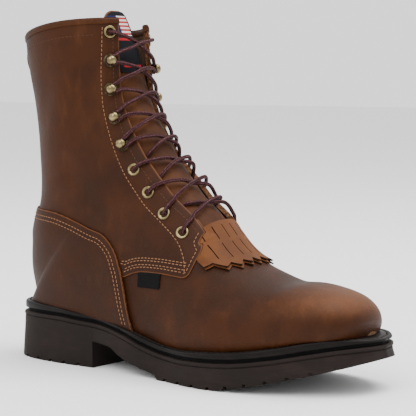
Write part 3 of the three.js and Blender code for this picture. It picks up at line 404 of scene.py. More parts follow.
def curve_through(table):
    """Points of a table's edge in the side view."""
    last = len(table["along"]) - 1
    rows = np.linspace(0, last, last * CURVE_STEPS + 1)
    return np.stack([x_at(spline(table["along"], rows)), spline(table["up"], rows) * INSTEP_HEIGHT], 1)


def side_distance(points, curve):
    """Distance to a curve in the side view, positive on its left."""
    flat = points[:, [0, 2]]
    best = np.full(len(flat), 1e9)
    sign = np.ones(len(flat))
    for start, end in zip(curve[:-1], curve[1:]):
        way = end - start
        rest = flat - start
        t = np.clip(rest @ way / max(way @ way, 1e-9), 0, 1)
        far = np.linalg.norm(rest - t[:, None] * way, axis=1)
        nearer = far < best
        best = np.where(nearer, far, best)
        sign = np.where(nearer, np.sign(way[0] * rest[:, 1] - way[1] * rest[:, 0]), sign)
    return best * sign


QUARTER_CURVE = curve_through(QUARTER_EDGE)
TIP = 6 * CURVE_STEPS
LOWER_CURVE = QUARTER_CURVE[:TIP + 1]
FRONT_CURVE = QUARTER_CURVE[TIP:]
ROW_CURVE = curve_through(ROW_LINE)
COUNTER_CURVE = curve_through(COUNTER_EDGE)


def throat_reach(z):
    """Half the throat's width at a height."""
    t = np.clip((z / SHAFT_HEIGHT - NARROWING) / (1 - NARROWING), 0, 1)
    return lerp(THROAT_WIDTH, THROAT_TOP_WIDTH, t) / 2


FAR = 60.0
SEAT_COVER = 0.8


def off_throat(points, around):
    """How far outside the throat's slot a point lies."""
    reach = throat_reach(points[:, 2])
    across = np.abs(points[:, 1]) - (reach - THROAT_ROUND)
    below = THROAT_BOTTOM + THROAT_ROUND - points[:, 2]
    corner = np.hypot(np.maximum(across, 0), np.maximum(below, 0)) - THROAT_ROUND
    field = np.where(below > 0, corner, np.abs(points[:, 1]) - reach)
    return np.where(np.abs(around) > CROWN_SHARE, FAR, field)


def off_seat(points):
    """How far above the leather's lower end a point lies, just under the welt's top."""
    return points[:, 2] - seat_at(along_at(points[:, 0])) + SEAT_COVER


def below_collar(points):
    """How far a point lies under the collar's edge."""
    low, high = surface_at(COLLAR, -1.0), surface_at(COLLAR, 0.0)
    slope = (high[2] - low[2]) / (high[0] - low[0])
    return low[2] + (points[:, 0] - low[0]) * slope - points[:, 2]


def in_counter(points, position, around):
    return -side_distance(points, COUNTER_CURVE)


def above_lower_edge(points, position, around):
    return side_distance(points, LOWER_CURVE)


def behind_front_edge(points, position, around):
    return side_distance(points, FRONT_CURVE)


def behind_row_line(points, position, around):
    return side_distance(points, ROW_CURVE)


# Panels that carry grooves, and each groove's panel, field and levels
PLAIN, QUARTER, COUNTER = range(3)
LOWER_ROWS = (3.6, 5.4, 8.2, 10.0)
COUNTER_ROWS = (4.6, 7.6)
SEAMS = ((QUARTER, above_lower_edge, LOWER_ROWS), (QUARTER, behind_row_line, (0.0,)),
         (COUNTER, in_counter, COUNTER_ROWS))
SEAM_DEPTH = 0.2
SEAM_WIDTH = 0.8


def seam_grooves(points, position, around, panel):
    """Shallow troughs in which the thread lies."""
    total = np.zeros(len(points))
    for on_panel, field, levels in SEAMS:
        if on_panel == panel:
            far = field(points, position, around)
            for level in levels:
                total -= SEAM_DEPTH * np.exp(-((far - level) / SEAM_WIDTH) ** 2)
    return total


FLARE = 3.4
FLARE_FADE = 8.0
FLARE_RISE = (84, 104)
FLARE_FALL = (138, 165)


def flare(points, around):
    """How far the inner facing stands off the tongue over its lower rows."""
    z = points[:, 2]
    along_rows = smooth_between(z, *FLARE_RISE) * (1 - smooth_between(z, *FLARE_FALL))
    near = np.exp(-np.maximum(off_throat(points, around), 0) / FLARE_FADE)
    return np.where(points[:, 1] > 0, FLARE * near * along_rows, 0)


# Meshes
def plan_shift():
    """From the boot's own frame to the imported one, across the foot."""
    low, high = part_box("outsole")
    rows = np.linspace(0, LAST_ROW, 33)
    own = np.concatenate([plan_at(rows, -1)[2], plan_at(rows, 1)[2]])
    return (low.y + high.y) / 2 - (own.min() + own.max()) / 2 * MM


SHIFT = np.array([0.0, plan_shift(), 0.0])


def to_frame(points):
    """Millimetres of the boot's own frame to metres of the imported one."""
    return np.asarray(points, float) * MM + SHIFT


def new_object(name, vertices, faces, materials=()):
    """An object at the origin with its place in its mesh."""
    mesh = bpy.data.meshes.new(name)
    mesh.from_pydata([tuple(v) for v in vertices], [], [tuple(int(i) for i in f) for f in faces])
    mesh.update()
    made = bpy.data.objects.new(name, mesh)
    bpy.context.scene.collection.objects.link(made)
    for material in materials:
        mesh.materials.append(material)
    return made


def only(made=None):
    """Selects one object and makes it active, or selects nothing."""
    if bpy.context.object and bpy.context.object.mode != "OBJECT":
        bpy.ops.object.mode_set(mode="OBJECT")
    bpy.ops.object.select_all(action="DESELECT")
    if made:
        made.select_set(True)
        bpy.context.view_layer.objects.active = made


def edit_all(made, step, **settings):
    """Runs one mesh operator on the whole of an object."""
    only(made)
    bpy.ops.object.mode_set(mode="EDIT")
    bpy.ops.mesh.select_all(action="SELECT")
    step(**settings)
    bpy.ops.object.mode_set(mode="OBJECT")


def smooth(made, angle):
    """Smooth shading, sharp where faces meet at more than the angle in degrees."""
    only(made)
    bpy.ops.object.shade_smooth_by_angle(angle=math.radians(angle))
    return made


def modify(made, kind, **settings):
    """Adds a modifier and applies it."""
    only(made)
    modifier = made.modifiers.new(kind.title(), kind)
    for key, value in settings.items():
        setattr(modifier, key, value)
    bpy.ops.object.modifier_apply(modifier=modifier.name)
    return made


def place_here(made):
    """Moves the object's place into its mesh."""
    only(made)
    bpy.ops.object.transform_apply(location=True, rotation=True, scale=True)
    return made


def dress(made, slot, *nodes):
    """Rides the boot's one body and stands for solids; its slot is not used."""
    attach(made, "root")
    if nodes:
        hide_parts(*nodes)
    return made


def write_attribute(made, name, values):
    """A number for each vertex, which the materials read."""
    layer = made.data.attributes.new(name, "FLOAT", "POINT")
    layer.data.foreach_set("value", np.asarray(values, np.float32))


def grid_quads(rows, count):
    """Faces of a grid of rows with count points each."""
    corner = np.arange(rows - 1)[:, None] * count + np.arange(count - 1)[None, :]
    return np.stack([corner, corner + 1, corner + 1 + count, corner + count], -1).reshape(-1, 4)


def cut_quads(value, quads):
    """Faces where value is above 0, edges that its zero line cuts, and that line's segments."""
    inside = value[quads] > 0
    faces = quads[inside.all(1)].tolist()
    crossings, segments = {}, []
    for quad in quads[inside.any(1) & ~inside.all(1)].tolist():
        polygon, cuts = [], []
        for u, v in zip(quad, quad[1:] + quad[:1]):
            if value[u] > 0:
                polygon.append(u)
            if (value[u] > 0) != (value[v] > 0):
                cuts.append(crossings.setdefault((min(u, v), max(u, v)), len(value) + len(crossings)))
                polygon.append(cuts[-1])
        if len(polygon) > 2:
            faces.append(polygon)
        if len(cuts) == 2:
            segments.append(cuts)
    return faces, np.array(list(crossings), int).reshape(-1, 2), segments


def trimmed_grid(positions, arounds, keep):
    """A grid on the last, cut where keep is 0: row numbers, arounds, faces and the cut's segments."""
    rows, cols = np.meshgrid(positions, arounds, indexing="ij")
    p, a = rows.ravel(), cols.ravel()
    value = keep(surface_at(p, a), p, a)
    faces, ends, segments = cut_quads(value, grid_quads(len(positions), len(arounds)))
    if len(ends):
        (p0, p1), (a0, a1), (low_value, high_value) = (column[ends].T for column in (p, a, value))
        low, high = np.zeros(len(ends)), np.ones(len(ends))
        share = low_value / (low_value - high_value)
        for _ in range(3):
            mid_p, mid_a = lerp(p0, p1, share), lerp(a0, a1, share)
            mid_value = keep(surface_at(mid_p, mid_a), mid_p, mid_a)
            same = (mid_value > 0) == (low_value > 0)
            low, low_value = np.where(same, share, low), np.where(same, mid_value, low_value)
            high, high_value = np.where(same, high, share), np.where(same, high_value, mid_value)
            gap = low_value - high_value
            gap = np.where(np.abs(gap) < 1e-9, 1e-9, gap)
            share = np.clip(low + (high - low) * low_value / gap, 0, 1)
        p, a = np.concatenate([p, lerp(p0, p1, share)]), np.concatenate([a, lerp(a0, a1, share)])
    return p, a, faces, segments


def chains(segments):
    """Joins segments end to end into lines."""
    near = {}
    for u, v in segments:
        near.setdefault(u, []).append(v)
        near.setdefault(v, []).append(u)
    lines, seen = [], set()
    for start in sorted(near, key=lambda key: len(near[key])):
        line, onward = [], [start] if start not in seen else []
        while onward:
            line.append(onward[0])
            seen.add(onward[0])
            onward = [n for n in near[line[-1]] if n not in seen]
        if len(line) > 2:
            lines.append(line)
    return lines


def used_only(faces, *arrays):
    """Drops the vertices that no face uses, and their rows in each array."""
    used = np.unique(np.concatenate([np.asarray(face) for face in faces]))
    number = {int(old): new for new, old in enumerate(used)}
    return [[number[int(i)] for i in face] for face in faces], [array[used] for array in arrays]


# Over the top of the toe the lighter tone is a painted highlight from above, together with lighter leather.
TOE_HIGHLIGHT_AND_TONE = 0.9
HEEL_TONE = 0.55
ANKLE_TONE = 0.12


def tone_and_highlight_at(points):
    """Painted highlight and lighter leather over the top of the toe, darker at the heel and low on the shaft.
    """
    toe = smooth_between(points[:, 0], 70, 140) * smooth_between(points[:, 2], 44, 66)
    heel = smooth_between(-points[:, 0], 70, 140) * smooth_between(120 - points[:, 2], 0, 60)
    ankle = smooth_between(120 - np.abs(points[:, 2] - 150), 60, 110)
    return TOE_HIGHLIGHT_AND_TONE * toe - HEEL_TONE * heel - ANKLE_TONE * ankle


EDGE_ROUND = 1.4
EDGE_FAR = 14
MERGE = 2e-5


def lay_panel(name, positions, arounds, keep, offset, thickness, materials, panel, edge_drop, shape=None):
    """A piece of leather on the last: trimmed grid, lifted by offset, with its folds and thickness."""
    p, a, faces, _ = trimmed_grid(positions, arounds, keep)
    faces, (p, a) = used_only(faces, p, a)
    base = surface_at(p, a)
    field = keep(base, p, a)
    lift = offset + folds_at(base) + seam_grooves(base, p, a, panel)
    if panel == QUARTER:
        lift += flare(base, a)
    lift -= edge_drop * np.clip(1 - field / EDGE_ROUND, 0, 1) ** 2
    points = base + normal_at(p, a) * lift[:, None]
    if shape:
        points = shape(points)
    made = new_object(name, to_frame(points), faces, materials)
    on_seat = off_seat(base) < field + 0.01
    write_attribute(made, "edge", np.where(on_seat, EDGE_FAR, np.clip(field, 0, EDGE_FAR)))
    write_attribute(made, "tone", tone_and_highlight_at(base))
    edit_all(made, bpy.ops.mesh.remove_doubles, threshold=MERGE)
    if panel != PLAIN:
        ease_heel(made)
    modify(made, "SOLIDIFY", thickness=thickness * MM, offset=-1.0, use_even_offset=False,
           material_offset=1, material_offset_rim=2)
    return smooth(made, 50)


HEEL_BACK = (62, 90)
HEEL_RISE = (39, 48)
HEEL_FALL = (84, 96)
HEEL_ROUNDS = 90


def ease_heel(made):
    """Rounds the leather low on the heel, where foot and shaft sections meet."""
    group = made.vertex_groups.new(name="heel")
    places = np.array([vertex.co[:] for vertex in made.data.vertices]) / MM
    x, z = places[:, 0], places[:, 2]
    share = smooth_between(-x, *HEEL_BACK) * smooth_between(z, *HEEL_RISE)
    share *= 1 - smooth_between(z, *HEEL_FALL)
    for index in np.flatnonzero(share > 0):
        group.add([int(index)], float(share[index]), "REPLACE")
    modify(made, "SMOOTH", factor=0.5, iterations=HEEL_ROUNDS, vertex_group="heel")
    made.vertex_groups.clear()


def around_at_reach(position, reach, side):
    """Where around the section the surface lies a given way from the centre line."""
    low, high = np.zeros_like(position), np.full_like(position, CROWN_SHARE)
    for _ in range(26):
        middle = (low + high) / 2
        short = side * surface_at(position, side * middle)[..., 1] < reach
        low, high = np.where(short, middle, low), np.where(short, high, middle)
    return side * low


def eyelet_reach(position, side):
    """How far from the centre line the eyelets lie, a little further near the slot's end."""
    position = np.asarray(position, float)
    z = surface_at(position, 0 * position)[..., 2]
    foot = OUTER_FOOT_SETBACK if side < 0 else INNER_FOOT_SETBACK
    t = np.clip((SETBACK_START - z) / (SETBACK_START - THROAT_BOTTOM), 0, 1)
    return throat_reach(z) + lerp(EYELET_SETBACK, foot, t)


def row_positions():
    """Section numbers of the rows of the facing, from the top."""
    steps = np.linspace(COLLAR, 10.0, 401)
    points = surface_at(steps, around_at_reach(steps, eyelet_reach(steps, -1), -1))
    return np.interp(FIRST_ROW + ROW_PITCH * np.arange(ROWS), running_length(points), steps)


ROW_AT = row_positions()


def point_over(position, y, offset):
    """A point over the facing or the throat, by its distance from the centre line."""
    position = np.array([float(position)])
    side = -1 if y < 0 else 1
    around = around_at_reach(position, np.abs(np.array([float(y)])), side)
    point = surface_at(position, around)
    if offset > 0:
        offset = offset + flare(point, around)[0]
    return (point + normal_at(position, around) * offset)[0]


# Materials
class Wire:
    """A socket of a material, for sums that read as Python."""

    def __init__(self, paint, socket):
        self.paint = paint
        self.socket = socket

    def _sum(self, operation, *values):
        return self.paint.node("ShaderNodeMath", {"operation": operation}, dict(enumerate(values)))

    def __add__(self, other):
        return self._sum("ADD", self, other)

    __radd__ = __add__

    def __sub__(self, other):
        return self._sum("SUBTRACT", self, other)

    def __rsub__(self, other):
        return self._sum("SUBTRACT", other, self)

    def __mul__(self, other):
        return self._sum("MULTIPLY", self, other)

    __rmul__ = __mul__

    def over(self, low, high):
        """0 below low, 1 above high, smooth between."""
        return self.paint.node("ShaderNodeMapRange", {"interpolation_type": "SMOOTHSTEP"},
                               {0: self, 1: low, 2: high, 3: 0.0, 4: 1.0})

    def wave(self):
        return self._sum("SINE", self)


class Paint:
    """A material in the making."""

    def __init__(self, name):
        self.material = bpy.data.materials.new(name)
        self.material.use_nodes = True
        self.tree = self.material.node_tree
        self.shader = next(n for n in self.tree.nodes if n.type == "BSDF_PRINCIPLED")

    def node(self, kind, settings=None, sockets=None, output=0):
        """Adds a node: its settings first, then the values or links of its sockets."""
        made = self.tree.nodes.new(kind)
        for key, value in (settings or {}).items():
            if key == "stops":
                ramp = made.color_ramp
                for place, colour in value[2:]:
                    ramp.elements.new(place)
                for element, (place, colour) in zip(ramp.elements, sorted(value)):
                    element.position = place
                    element.color = (*colour, 1)
            else:
                setattr(made, key, value)
        for key, value in (sockets or {}).items():
            if isinstance(value, Wire):
                self.tree.links.new(value.socket, made.inputs[key])
            else:
                made.inputs[key].default_value = value
        return Wire(self, made.outputs[output])

    def set(self, name, value):
        """A constant or a link on the shader."""
        socket = self.shader.inputs[name]
        if isinstance(value, Wire):
            self.tree.links.new(value.socket, socket)
        elif isinstance(value, tuple) and len(value) == 3:
            socket.default_value = (*value, 1)
        else:
            socket.default_value = value
        return self

    def place(self):
        return self.node("ShaderNodeTexCoord", output=3)

    def uv(self):
        return self.node("ShaderNodeTexCoord", output=2)

    def stretched(self, place, scale):
        return self.node("ShaderNodeMapping", None, {"Vector": place, "Scale": scale})

    def noise(self, place, scale, detail=3.0, rough=0.55):
        return self.node("ShaderNodeTexNoise", None,
                         {"Vector": place, "Scale": scale, "Detail": detail, "Roughness": rough})

    def cells(self, place, scale):
        return self.node("ShaderNodeTexVoronoi", {"feature": "DISTANCE_TO_EDGE"},
                         {"Vector": place, "Scale": scale})

    def attribute(self, name):
        return self.node("ShaderNodeAttribute", {"attribute_name": name}, output=2)

    def axis(self, place, number):
        return self.node("ShaderNodeSeparateXYZ", None, {0: place}, output=number)

    def blend(self, factor, low, high):
        """Mixes two colours."""
        values = {0: factor, 6: low if isinstance(low, Wire) else (*low, 1),
                  7: high if isinstance(high, Wire) else (*high, 1)}
        return self.node("ShaderNodeMix", {"data_type": "RGBA"}, values, output=2)

    def bump(self, height, strength, distance):
        return self.node("ShaderNodeBump", None,
                         {"Height": height, "Strength": strength, "Distance": distance})

    def finish(self, colour, rough, shine, height=None, strength=0.0, distance=0.0):
        """Sets the shader and hands over the material."""
        self.set("Base Color", colour).set("Roughness", rough).set("Specular IOR Level", shine)
        if height is not None:
            self.set("Normal", self.bump(height, strength, distance))
        return self.material


DULL = 0.11
FLAT = 0.08
PLAIN_SHINE = 0.5


def leather(name, colour, light, dark, worn_and_highlight, rough=0.5):
    """Oiled leather: cloudy brown, lighter where it is bent or rubbed and under the painted highlight that
    the tone attribute carries on top of the toe, fine grain.
    """
    paint = Paint(name)
    place = paint.place()
    cloud = paint.noise(place, 17, 3, 0.5)
    patch = paint.noise(place, 60, 4, 0.6)
    streak = paint.noise(paint.stretched(place, (1, 1, 0.35)), 120, 3, 0.6)
    tone = paint.attribute("tone")
    mixed = paint.blend((cloud * 0.6 + patch * 0.4 + tone * 0.12).over(0.4, 0.62), dark, colour)
    # The tone attribute also lifts this mask on top of the toe, where it carries a painted highlight.
    bent_and_highlight = (cloud * 0.35 + streak * 0.65 + tone * 0.2).over(0.52, 0.86)
    mixed = paint.blend(bent_and_highlight * 0.75, mixed, light)
    # Painted highlight: blends to the rubbed colour where the tone attribute is high, on top of the toe, with
    # a little lighter tone on the collar's edge and the fringe.
    mixed = paint.blend(tone.over(0.1, 1.2) * (0.35 + patch * 0.7), mixed, worn_and_highlight)
    rub = (1 - paint.attribute("edge").over(0.2, 1.0)) * (0.35 + streak * 0.7)
    mixed = paint.blend(rub, mixed, worn_and_highlight)
    grain = paint.cells(place, 950)
    height = grain.over(0.0, 0.35) * 0.35 + paint.noise(place, 420, 4, 0.65) * 0.5 + patch * 0.6
    return paint.finish(mixed, rough + (patch - 0.5) * 0.22 + grain * 0.06, DULL, height, 0.42, 0.0006)


def raw_edge(name, colour, dark):
    """Cut edge of leather."""
    paint = Paint(name)
    fibre = paint.noise(paint.place(), 520, 3)
    return paint.finish(paint.blend(fibre.over(0.35, 0.7), dark, colour), 0.75, DULL, fibre, 0.4, 0.0004)


def lining(name, colour, dark):
    """Soft lining on the inside."""
    paint = Paint(name)
    nap = paint.noise(paint.place(), 300, 4)
    return paint.finish(paint.blend(nap.over(0.3, 0.7), dark, colour), 0.9, 0.1, nap, 0.3, 0.0005)


def rubber(name, colour, light, rough):
    """Moulded rubber with faint dust."""
    paint = Paint(name)
    place = paint.place()
    dust = paint.noise(place, 45, 5, 0.65)
    scuff = paint.noise(paint.stretched(place, (1, 1, 6)), 60, 3)
    mixed = paint.blend((dust * 0.6 + scuff * 0.4).over(0.42, 0.75) * 0.8, colour, light)
    height = paint.noise(place, 700, 3) + dust * 0.7
    return paint.finish(mixed, rough + (dust - 0.5) * 0.25, FLAT, height, 0.3, 0.0005)


def metal(name, colour, dark, rough=0.3):
    """Antique brass, darker in patches."""
    paint = Paint(name)
    patch = paint.noise(paint.place(), 260, 4)
    mixed = paint.blend(patch.over(0.35, 0.7), dark, colour)
    return paint.set("Metallic", 1.0).finish(mixed, rough + (patch - 0.5) * 0.2, PLAIN_SHINE)


def braid(name, colour, fleck, dark):
    """Round braided lace, from its own map: across it and along it in millimetres."""
    paint = Paint(name)
    uv = paint.uv()
    turns = paint.axis(uv, 0) * (4 * math.pi)
    along = paint.axis(uv, 1) * 3.4
    weave = (turns + along).wave() * (turns - along).wave()
    flecks = paint.noise(paint.stretched(uv, (9, 0.9, 1)), 1.6, 1, 0.4)
    mixed = paint.blend(weave.over(-0.7, 0.7), dark, colour)
    mixed = paint.blend(flecks.over(0.56, 0.64) * weave.over(-0.3, 0.5), mixed, fleck)
    return paint.finish(mixed, 0.8, DULL, weave, 0.8, 0.0004)


def thread(name, colour):
    """Waxed sewing thread."""
    return Paint(name).finish(colour, 0.7, DULL)


def woven(name, colour, dark):
    """Plain woven tape."""
    paint = Paint(name)
    place = paint.place()
    weave = (paint.axis(place, 0) * 9000.0).wave() * (paint.axis(place, 2) * 9000.0).wave()
    return paint.finish(paint.blend(weave.over(-0.6, 0.6), dark, colour), 0.85, FLAT, weave, 0.4, 0.0003)


def striped_label(name):
    """Woven label with plain bands, from its own map: across in shares, up in shares."""
    paint = Paint(name)
    uv = paint.uv()
    u, v = paint.axis(uv, 0), paint.axis(uv, 1)

    def band(socket, low, high, soft=0.01):
        return socket.over(low, low + soft) * (1 - socket.over(high, high + soft))

    charcoal, navy = (0.006, 0.006, 0.008), (0.012, 0.014, 0.05)
    red, white = (0.3, 0.012, 0.018), (0.5, 0.48, 0.45)
    stripes = paint.blend((v * 100.0).wave().over(-0.15, 0.15), red, white)
    top = paint.blend(u.over(0.44, 0.46), navy, stripes)
    top = paint.blend(band(u, 0.12, 0.87), charcoal, top)
    line = band(v, 0.07, 0.11) + band(v, 0.5, 0.54)
    field = paint.blend(line * band(u, 0.14, 0.85), charcoal, red)
    mixed = paint.blend(band(v, 0.58, 0.9, 0.005), field, top)
    weave = (u * 260.0).wave() * (v * 560.0).wave()
    return paint.finish(mixed, 0.8, FLAT, weave, 0.4, 0.0003)


MATERIALS = {}


def scaled(colour, share):
    return tuple(share * c for c in colour)


def between(one, other, share):
    return tuple(lerp(a, b, share) for a, b in zip(one, other))


def make_materials(colours):
    """All finishes, once."""
    brown, rub, sole = tuple(colours.leather), tuple(colours.rubbed_and_highlight), tuple(colours.sole)
    brass, lace = tuple(colours.brass), tuple(colours.lace)
    light = between(brown, rub, 0.4)
    MATERIALS.update(
        leather=leather("oiled_leather", brown, light, scaled(brown, 0.62), rub),
        counter=leather("heel_leather", scaled(brown, 0.92), light, scaled(brown, 0.6), rub),
        tongue=leather("tongue_leather", light, scaled(light, 1.25), brown, rub, 0.6),
        fringe=leather("fringe_leather", between(brown, rub, 0.75), rub, light, scaled(rub, 1.2), 0.6),
        edge=raw_edge("cut_edge", (0.16, 0.07, 0.03), (0.05, 0.019, 0.009)),
        dark_edge=raw_edge("fringe_edge", (0.03, 0.011, 0.006), (0.008, 0.0035, 0.002)),
        lining=lining("lining", (0.07, 0.036, 0.02), (0.03, 0.015, 0.008)),
        insole=lining("insole_board", (0.14, 0.08, 0.045), (0.08, 0.045, 0.025)),
        sole=rubber("sole_rubber", sole, scaled(sole, 1.8), 0.62),
        welt=rubber("welt_rubber", (0.005, 0.0038, 0.0034), (0.014, 0.011, 0.01), 0.42),
        recess=rubber("recess_rubber", (0.002, 0.002, 0.002), (0.005, 0.0045, 0.0045), 0.7),
        brass=metal("antique_brass", brass, scaled(brass, 0.45)),
        # Hook bases: darker brass, with painted shade under the domes.
        ring=metal("dark_brass_and_shade", scaled(brass, 0.3), scaled(brass, 0.08), 0.45),
        lace=braid("braided_lace", lace, (0.2, 0.095, 0.1), scaled(lace, 0.3)),
        tan_thread=thread("tan_thread", (0.2, 0.098, 0.05)),
        dark_thread=thread("dark_thread", (0.06, 0.026, 0.014)),
        welt_thread=thread("welt_thread", (0.02, 0.016, 0.014)),
        webbing=woven("pull_webbing", (0.11, 0.058, 0.032), (0.045, 0.022, 0.012)),
        tab=woven("side_tab_weave", (0.006, 0.0055, 0.006), (0.002, 0.002, 0.002)),
        label=striped_label("label_weave"))


def colour_setting(name, text, default):
    return bpy.props.FloatVectorProperty(name=name, description=text, subtype="COLOR", default=default)


def length_setting(name, text, default):
    return bpy.props.FloatProperty(name=name, description=text, unit="LENGTH", default=default)


class BootColours(bpy.types.PropertyGroup):
    """Main colours of the boot."""
    leather: colour_setting("Leather", "Base brown of the oiled leather", (0.034, 0.009, 0.0014))
    # The rubbed brown is also the colour of the painted highlight on top of the toe.
    rubbed_and_highlight: colour_setting("Rubbed leather", "Brown where it is bent or rubbed", (0.125, 0.043, 0.0125))
    sole: colour_setting("Sole", "Dark grey-brown rubber", (0.0115, 0.0078, 0.0068))
    brass: colour_setting("Brass", "Eyelets and hooks", (0.27, 0.21, 0.1))
    lace: colour_setting("Lace", "Braided lace", (0.055, 0.017, 0.02))


class BootSizes(bpy.types.PropertyGroup):
    """Sizes that only the looks use."""
    stitch: length_setting("Stitch", "Length of one stitch on the leather", 0.0016)
    stitch_pitch: length_setting("Stitch pitch", "From one stitch to the next", 0.0031)
    thread: length_setting("Thread", "Thickness of the thread", 0.0007)
    welt_pitch: length_setting("Welt stitch pitch", "From one welt stitch to the next", 0.0045)


UNDER_QUARTER = 9.0
UNDER_THROAT = 1.5


def quarter_keep(points, position, around):
    """The quarters: behind their edge, outside the throat, above the welt."""
    field = np.minimum(side_distance(points, QUARTER_CURVE), off_throat(points, around))
    return np.minimum(field, off_seat(points))


def vamp_keep(points, position, around):
    """The vamp runs on a little under the quarters and into the throat."""
    over = UNDER_QUARTER - side_distance(points, QUARTER_CURVE)
    return np.minimum(np.minimum(over, off_throat(points, around) + UNDER_THROAT), off_seat(points))


def counter_keep(points, position, around):
    """The heel counter: behind and under its edge, above the welt."""
    return np.minimum(in_counter(points, position, around), off_seat(points))


def both_sides(step_high=0.006, step_low=0.0125):
    """Steps round a section, closer over the crown."""
    high = grid_rows(0, CROWN_SHARE, step_high)
    low = grid_rows(CROWN_SHARE, 1, step_low)
    return mirrored(np.concatenate([high, low[1:]]))


# How far an edge bends down to what it lies on, and the sections that each panel spans
LASTED_DROP = 0.1
OVERLAY_DROP = 0.35
VAMP_ROWS = (0, 16)
QUARTER_ROWS = (9, COLLAR)
HEEL_ROWS = (11, 23)
TONGUE_ROWS = (10, ABOVE)
LABEL_ROWS = (20, ABOVE)
TAB_ROWS = (10, 15)
FRINGE_ROWS = (4, 15)


class BOOT_OT_leather(bpy.types.Operator):
    """Lays the vamp, the quarters, the heel counter and the collar's rolled edge"""
    bl_idname = "boot.leather"
    bl_label = "Leather panels"

    def execute(self, context):
        around, back = both_sides(), [MATERIALS["lining"], MATERIALS["edge"]]
        skin, heel = [MATERIALS["leather"], *back], [MATERIALS["counter"], *back]
        vamp = lay_panel("vamp_leather", grid_rows(*VAMP_ROWS, 0.07), around, vamp_keep, 0.0, WALL,
                         skin, PLAIN, LASTED_DROP)
        quarters = lay_panel("quarter_leather", grid_rows(*QUARTER_ROWS, 0.085), around, quarter_keep,
                             OVERLAY, OVERLAY + WALL, skin, QUARTER, OVERLAY_DROP)
        counter = lay_panel("counter_leather", grid_rows(*HEEL_ROWS, 0.08), around, counter_keep,
                            2 * OVERLAY + GAP, OVERLAY + GAP, heel, COUNTER, OVERLAY_DROP)
        for made, node in ((vamp, "upper"), (quarters, "upper"), (counter, "counter"),
                           (self.collar_edge(), "upper")):
            dress(made, "upper_leather", node)
        return {"FINISHED"}

    def collar_edge(self):
        """Leather folded over the collar's edge and stitched down inside."""
        collar, reach = np.array([float(COLLAR)]), np.array([THROAT_TOP_WIDTH / 2])
        start, end = (around_at_reach(collar, reach, side)[0] for side in (-1, 1))
        around = np.concatenate([np.linspace(start, -1, 90), np.linspace(1, end, 90)[1:]])
        top, out = surface_at(COLLAR, around), normal_at(COLLAR, around)
        down = unit(surface_at(COLLAR - 0.35, around) - top)
        outside, inside = OVERLAY + BAND_STEP, -WALL - 0.4
        middle, half = (outside + inside) / 2, (outside - inside) / 2
        profile = [(outside - 0.7, 4.6), (outside - 0.1, 4.4), (outside, 3.8), (outside, half * 0.6)]
        for step in range(1, 10):
            angle = math.pi * step / 10
            profile.append((middle + half * math.cos(angle), half * 0.6 * (1 - math.sin(angle))))
        profile += [(inside, half * 0.6), (inside, 5.0), (inside + 0.5, 5.4)]
        rings = [top + out * across + down * depth for across, depth in profile]
        made = sweep("collar_edge", np.stack(rings, 1), [MATERIALS["leather"]])
        write_attribute(made, "edge", np.full(len(made.data.vertices), 0.9))
        write_attribute(made, "tone", np.full(len(made.data.vertices), 0.25))
        return smooth(made, 60)


def sweep(name, rings, materials):
    """A closed skin over rings of points."""
    count, size = rings.shape[:2]
    faces = []
    for i in range(count - 1):
        for j in range(size):
            k = (j + 1) % size
            faces.append((i * size + j, i * size + k, (i + 1) * size + k, (i + 1) * size + j))
    faces.append(tuple(reversed(range(size))))
    faces.append(tuple((count - 1) * size + j for j in range(size)))
    made = new_object(name, to_frame(rings.reshape(-1, 3)), faces, materials)
    edit_all(made, bpy.ops.mesh.normals_make_consistent, inside=False)
    return made


def lean_back(points):
    """The tongue leans away from the laces towards its top."""
    t = np.maximum(points[:, 2] - LEAN_START, 0) / (TONGUE_TOP - LEAN_START)
    moved = points.copy()
    moved[:, 0] -= TONGUE_LEAN * t ** LEAN_POWER
    return moved


def tongue_keep(points, position, around):
    """The tongue's outline in the front view, rounded at its top and foot."""
    z, y = points[:, 2], np.abs(points[:, 1])
    t = np.clip((z - LEAN_START) / (TONGUE_TOP - TONGUE_ROUND - LEAN_START), 0, 1)
    reach = lerp(TONGUE_REACH, TONGUE_TOP_REACH, t)
    corner = np.where(points[:, 1] < 0, OUTER_CORNER * TONGUE_ROUND, TONGUE_ROUND)
    side, near = reach - y, np.minimum(TONGUE_TOP - z, z - TONGUE_FOOT)
    rounded = corner - np.hypot(np.maximum(corner - side, 0), np.maximum(corner - near, 0))
    return np.where(np.abs(around) > CROWN_SHARE, -9.0, np.minimum(rounded, np.minimum(side, near)))


class BOOT_OT_tongue(bpy.types.Operator):
    """Lays the tongue and its woven label"""
    bl_idname = "boot.tongue"
    bl_label = "Tongue and label"

    def execute(self, context):
        around, look = mirrored(grid_rows(0, CROWN_SHARE, 0.0075)), MATERIALS
        tongue = lay_panel("tongue_leather", grid_rows(*TONGUE_ROWS, 0.1), around, tongue_keep, -WALL - GAP,
                           2.4, [look["tongue"], look["lining"], look["edge"]], PLAIN, 0.8, lean_back)
        dress(tongue, "tongue_leather", "tongue")
        dress(self.label(), "woven_label", "tongue_label")
        return {"FINISHED"}

    def label(self):
        """The label follows the tongue's outline and is mapped across and up in shares."""
        def keep(points, position, around):
            z, y = points[:, 2], np.abs(points[:, 1])
            inside = np.minimum(tongue_keep(points, position, around) - LABEL_MARGIN, z - LABEL_FOOT)
            return np.minimum(inside, LABEL_REACH - y)

        around = mirrored(grid_rows(0, 0.5, 0.01))
        made = lay_panel("tongue_label_weave", grid_rows(*LABEL_ROWS, 0.08), around, keep, -WALL + 0.5,
                         0.8, [MATERIALS["label"]] * 3, PLAIN, 0.1, lean_back)
        layer = made.data.uv_layers.new(name="UVMap")
        for loop in made.data.loops:
            place = (np.array(made.data.vertices[loop.vertex_index].co) - SHIFT) / MM
            layer.data[loop.index].uv = (0.5 + place[1] / (2 * LABEL_REACH),
                                         (place[2] - LABEL_FOOT) / (TONGUE_TOP - LABEL_FOOT))
        return made


